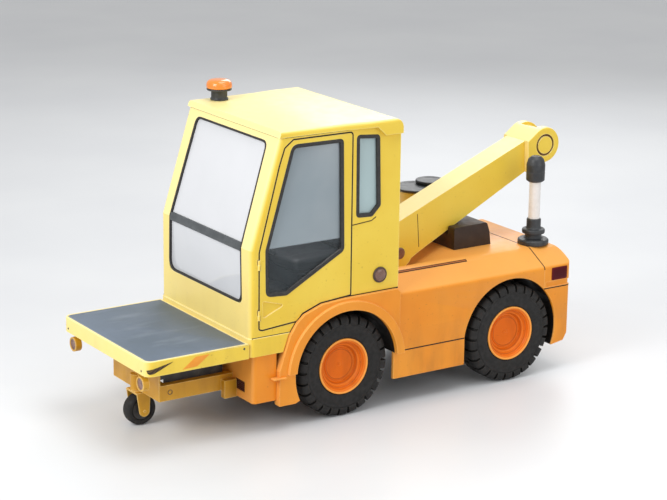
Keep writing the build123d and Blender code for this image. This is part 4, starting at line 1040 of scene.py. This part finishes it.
lamp_tube = [(0, collar_top - 0.001), (0.040, collar_top - 0.001), (0.040, tube_top + 0.001),
             (0, tube_top + 0.001)]
piece("post_collars", "chassis", "black_plastic",
      [soft_turned(collars, 0.003, 3, post_foot, upward), soft_turned(post_cap, 0.006, 4, post_foot, upward)],
      replaces=["post_fittings"])
piece("post_lamp_tube", "chassis", "white_tube", [turned(lamp_tube, post_foot, upward, 48)],
      replaces=["post_tube"])

# Platform: diagonal stripes on its sides
stripe = softened([(1.884, 0.531), (1.779, 0.536), (1.689, 0.600), (1.789, 0.600)], 0.004, 3)
stripe_thickness, stripe_edge, stripe_proud = 0.0012, 0.0004, 0.0008
stripe_origin = (0, tray_half + stripe_proud, 0)
piece("tray_stripes", "chassis", "orange_paint",
      both_sides(slab(stripe, stripe_thickness, stripe_edge, stripe_origin, ahead, upward)),
      finish=stripe_orange)


def round_corner(grid):
    """A flat grid on the tray's side, bent round the plan arc of its front corner."""
    corner_radius = 0.055
    corner_x = deck_front - corner_radius
    angle = np.maximum(grid[..., 0] - corner_x, 0) / corner_radius
    radius = corner_radius + grid[..., 1] - tray_half
    bent = np.stack((corner_x + radius * np.sin(angle), tray_half - corner_radius + radius * np.cos(angle),
                     grid[..., 2]), axis=-1)
    return np.where(grid[..., :1] > corner_x, bent, grid)


# Teardrop recess at the platform's front corner, drawn as a thin dark plate whose dark ground paints the
# recess's shade: its height grows with the share of the way from the tip, as that share to the power 0.9
# times the root of one minus its eighth power
recess_tip, recess_end, recess_high = 1.950, 2.130, 0.595
recess_drop, recess_height = 0.034, 0.042
from_tip = np.linspace(0.02, 0.999, 36)[:, None]
recess_x = recess_tip + (recess_end - recess_tip) * from_tip
recess_top = recess_high - recess_drop * from_tip
recess_tall = recess_height * from_tip ** 0.9 * np.sqrt(1 - from_tip ** 8)
across_face = np.array([[0.0006, 0.0016, 0.0016, 0.0006]])
down_face = np.array([[0.0, 0.0, 1.0, 1.0]])
recess_grid = np.stack(np.broadcast_arrays(recess_x, tray_half + across_face,
                                           recess_top - recess_tall * down_face), axis=-1)
piece("tray_recesses", "chassis", "dark_steel", both_sides((round_corner(recess_grid), False, True, True)),
      finish=recess_shade_hatch)


# Small bolts and a ring on the platform, the stay behind its front plate and the fenders' steps
def bolts(places, outwards):
    """Domed heads on washers, each turned about the outward direction. Their profile is given in bolt
    radii, as (radius, height)."""
    bolt_radius = 0.005
    profile = softened([(0, -0.002), (1.5, -0.002), (1.5, 0.12), (1.0, 0.16), (0.95, 0.5), (0.6, 0.72),
                        (0, 0.75)], 0.08, 3, closed=False)
    return [turned(profile * bolt_radius, place, outwards, 14) for place in places]


side_bolt = np.array([1.440, tray_half, 0.590])
side_ring = turned(rectangle(0.013, -0.001, 0.017, 0.002), np.array([1.828, 0.310, 0.295]), left, 40,
                   wrap_rows=True)
piece("platform_bolts", "chassis", "yellow_paint",
      bolts([side_bolt], left) + bolts([side_bolt * np.array([1.0, -1.0, 1.0])], -left)
      + bolts([(deck_front, y, 0.545) for y in (-0.501, 0.501)], ahead) + both_sides(side_ring),
      finish=finishes["dark_steel"])
piece("platform_stay", "chassis", "dark_steel",
      [block((1.862, -0.306, 0.385), (1.896, 0.306, 0.536), 0.003)])
piece("fender_steps", "chassis", "orange_paint",
      both_sides(block((1.150, 0.570, 0.352), (1.245, 0.619, 0.361), 0.003)))

# Round lamps under the platform: dark recessed faces
pod = np.array([2.111, 0.461, 0.446])
reflector = [(0, 0.0), (0.037, 0.0), (0.037, 0.008), (0.033, 0.009), (0.022, 0.004), (0.008, 0.003),
             (0, 0.007)]
piece("pod_lenses", "chassis", "brown_plastic", both_sides(soft_turned(reflector, 0.002, 3, pod, ahead, 40)),
      finish=lamp_brown)

# Front grilles: bars across and up in each opening
grille_x, upright_x = 1.360, 1.356
grille_y, grille_z = (0.338, 0.452), (0.250, 0.320)
bar_radius, bar_sides = 0.0030, 8
bars = [rod((grille_x, grille_y[0], z), (grille_x, grille_y[1], z), bar_radius, bar_sides)
        for z in np.linspace(0.254, 0.316, 6)]
bars += [rod((upright_x, y, grille_z[0]), (upright_x, y, grille_z[1]), bar_radius, bar_sides)
         for y in np.linspace(0.342, 0.448, 9)]
piece("grille_bars", "chassis", "brown_plastic", [twin for bar in bars for twin in both_sides(bar)],
      finish=grille_red, replaces=["grilles"])

# Support wheel's tyre
caster_section = softened([(0.067, -0.045), (0.090, -0.046), (0.104, -0.030), (0.104, 0.030), (0.090, 0.046),
                           (0.067, 0.045)], 0.012, 5)
piece("caster_tread", "caster_wheel", "tyre",
      [turned(caster_section, own_middle("caster_tyre"), left, 56, wrap_rows=True)],
      replaces=["caster_tyre"], sharp=50)


# Driver's place
def cushion(centre, size, along_u, along_v):
    """A crowned pad: a superellipsoid whose two angles give its corners a soft square plan, with the
    sides pulled in between the corners and two sewn channels pressed across it."""
    u = np.linspace(-np.pi, np.pi, 96, endpoint=False)[None]
    v = np.linspace(-np.pi / 2, np.pi / 2, 33)[:, None]
    plan_power, rim_power, side_power = 0.30, 0.35, 0.55
    crown, most_pull = 0.12, 0.03
    channel_place, channel_half, channel_depth = 0.45, 0.035, 0.10

    def power(value, exponent):
        """The value's size to a power, with its sign kept."""
        return np.sign(value) * np.abs(value) ** exponent

    x = power(np.cos(v), rim_power) * power(np.cos(u), plan_power)
    y = power(np.cos(v), rim_power) * power(np.sin(u), plan_power)
    z = power(np.sin(v), side_power) * np.ones_like(u)
    pull = 1 - most_pull * (np.cos(2 * u) ** 2) * np.ones_like(v)
    channel = channel_depth * np.exp(-((np.abs(y) - channel_place) / channel_half) ** 2)
    lift = (1 + crown * (1 - x ** 2) * (1 - y ** 2)) * (1 - channel)
    a, b, c = np.asarray(size) / 2
    normal = np.cross(along_u, along_v)
    grid = (np.asarray(centre) + (x * a * pull)[..., None] * along_u + (y * b * pull)[..., None] * along_v
            + (z * c * lift)[..., None] * normal)
    return grid, False, True, False


seat_pad = piece("seat_pad", "chassis", "seat_cover",
                 [cushion((0.630, 0, 0.945), (0.440, 0.440, 0.105), ahead, left)], replaces=["seat"])
back_lean = np.array([-0.10, 0.0, 0.995])
seat_back = piece("seat_back", "chassis", "seat_cover",
                  [cushion((0.430, 0, 1.225), (0.440, 0.420, 0.085), left, back_lean)])
piece("seat_frame", "chassis", "black_plastic",
      [block((0.430, -0.200, 0.765), (0.800, 0.200, 0.893), 0.02)])

# Steering wheel: rim, hub, spokes and column
steer_centre = np.array([1.060, 0.0, 1.110])
steer_radius = 0.175
hub_radius, hub_depth, hub_cap = 0.045, 0.020, 0.025
column_radius, column_length, spoke_radius = 0.022, 0.36, 0.010
column_lean = np.radians(58)
column_way = np.array([np.cos(column_lean), 0.0, -np.sin(column_lean)])
wheel_up = np.cross(column_way, left)


def on_wheel(turn):
    """Point of the steering wheel's rim at an angle from its left."""
    return steer_centre + steer_radius * (np.cos(turn) * left + np.sin(turn) * wheel_up)


rim_path = on_wheel(np.linspace(0, 2 * np.pi, 72, endpoint=False)[:, None])
steering = [carried(oval(0.026, 0.026, 0.009), rim_path, column_way, closed=True),
            rod(steer_centre - hub_depth * column_way, steer_centre + column_length * column_way,
                column_radius),
            rod(steer_centre - hub_cap * column_way, steer_centre + hub_depth * column_way, hub_radius, 32)]
steering += [rod(steer_centre, on_wheel(turn), spoke_radius) for turn in np.radians((0, 180, 270))]
piece("steering_wheel", "chassis", "black_plastic", steering, replaces=["steering_column"],
      finish=cockpit_grey)

# Floor: a wide disc in a few rings
ground = new_finish("pale_floor", "DADCDF", 0.42)
wire(ground, "Base Color", blended(ground, patches(ground, 0.6, (0.3, 0.7), detail=3.0), "D8DADD", "DEE0E2"))
reach = np.array([0.0, 2.0, 6.0, 15.0, 40.0, 90.0])
floor_angle = np.linspace(0, 2 * np.pi, 64, endpoint=False)
floor_grid = np.stack((reach[:, None] * np.cos(floor_angle), reach[:, None] * np.sin(floor_angle),
                       np.zeros((len(reach), len(floor_angle)))), axis=-1)
floor_mesh = bpy.data.meshes.new("floor")
floor_mesh.from_pydata(floor_grid.reshape(-1, 3).tolist(), [],
                       grid_quads(len(reach), len(floor_angle), False, True)[:, ::-1].tolist())
floor_mesh.materials.append(ground)
floor = bpy.data.objects.new("floor", floor_mesh)
bpy.context.scene.collection.objects.link(floor)

# Studio: an even white world and large soft lamps
world = bpy.data.worlds.new("studio")
bpy.context.scene.world = world
world.use_nodes = True
sky = world.node_tree.nodes["Background"]
sky.inputs["Color"].default_value = (1.0, 1.0, 1.0, 1.0)
sky.inputs["Strength"].default_value = 0.62


def standing(place, back, roll=0.0):
    """World matrix of a lamp or camera at a place, its back towards a direction, rolled about it."""
    across = np.cross(upward, back)
    across = across / np.linalg.norm(across)
    above = np.cross(back, across)
    axes = np.eye(4)
    axes[:3, 0] = np.cos(roll) * across + np.sin(roll) * above
    axes[:3, 1] = np.cos(roll) * above - np.sin(roll) * across
    axes[:3, 2] = back
    axes[:3, 3] = place
    return Matrix(axes.tolist())


def soft_lamp(name, place, target, size, power):
    """A square soft box at a place, turned to face the target."""
    data = bpy.data.lights.new(name, "AREA")
    data.size = size
    data.energy = power
    back = np.asarray(place, float) - np.asarray(target, float)
    lamp = bpy.data.objects.new(name, data)
    lamp.matrix_world = standing(place, back / np.linalg.norm(back))
    bpy.context.scene.collection.objects.link(lamp)


vehicle_middle = (0.0, 0.0, 0.8)
soft_lamp("key", (8.0, 1.6, 6.0), vehicle_middle, 4.5, 540)
soft_lamp("top", (-1.0, 1.0, 9.0), (-0.5, 0.0, 0.8), 5.0, 280)
soft_lamp("side_fill", (-2.5, 8.0, 4.0), vehicle_middle, 5.0, 140)
soft_lamp("cab_lamp", (mid_x + 0.85, 0.0, 1.86), (mid_x + 0.86, 0.0, 0.8), 0.4, 5)
soft_lamp("back_fill", (-6.0, -6.0, 6.0), vehicle_middle, 5.0, 260)

# Camera at the photograph's angle
photo_width = 667
focal_pixels = 2104.5
azimuth, elevation, roll = np.radians((146.603, 15.560, 0.726))
camera_place = np.array([7.891 + mid_x, 11.361, 4.739])
level = np.cos(elevation)
back = np.array([np.sin(azimuth) * level, -np.cos(azimuth) * level, np.sin(elevation)])
camera_data = bpy.data.cameras.new("photo_camera")
camera_data.sensor_width = 36.0
camera_data.lens = focal_pixels * camera_data.sensor_width / photo_width
camera = bpy.data.objects.new("photo_camera", camera_data)
camera.matrix_world = standing(camera_place, back, roll)
bpy.context.scene.collection.objects.link(camera)
bpy.context.scene.camera = camera
bpy.context.scene.view_settings.view_transform = "Standard"
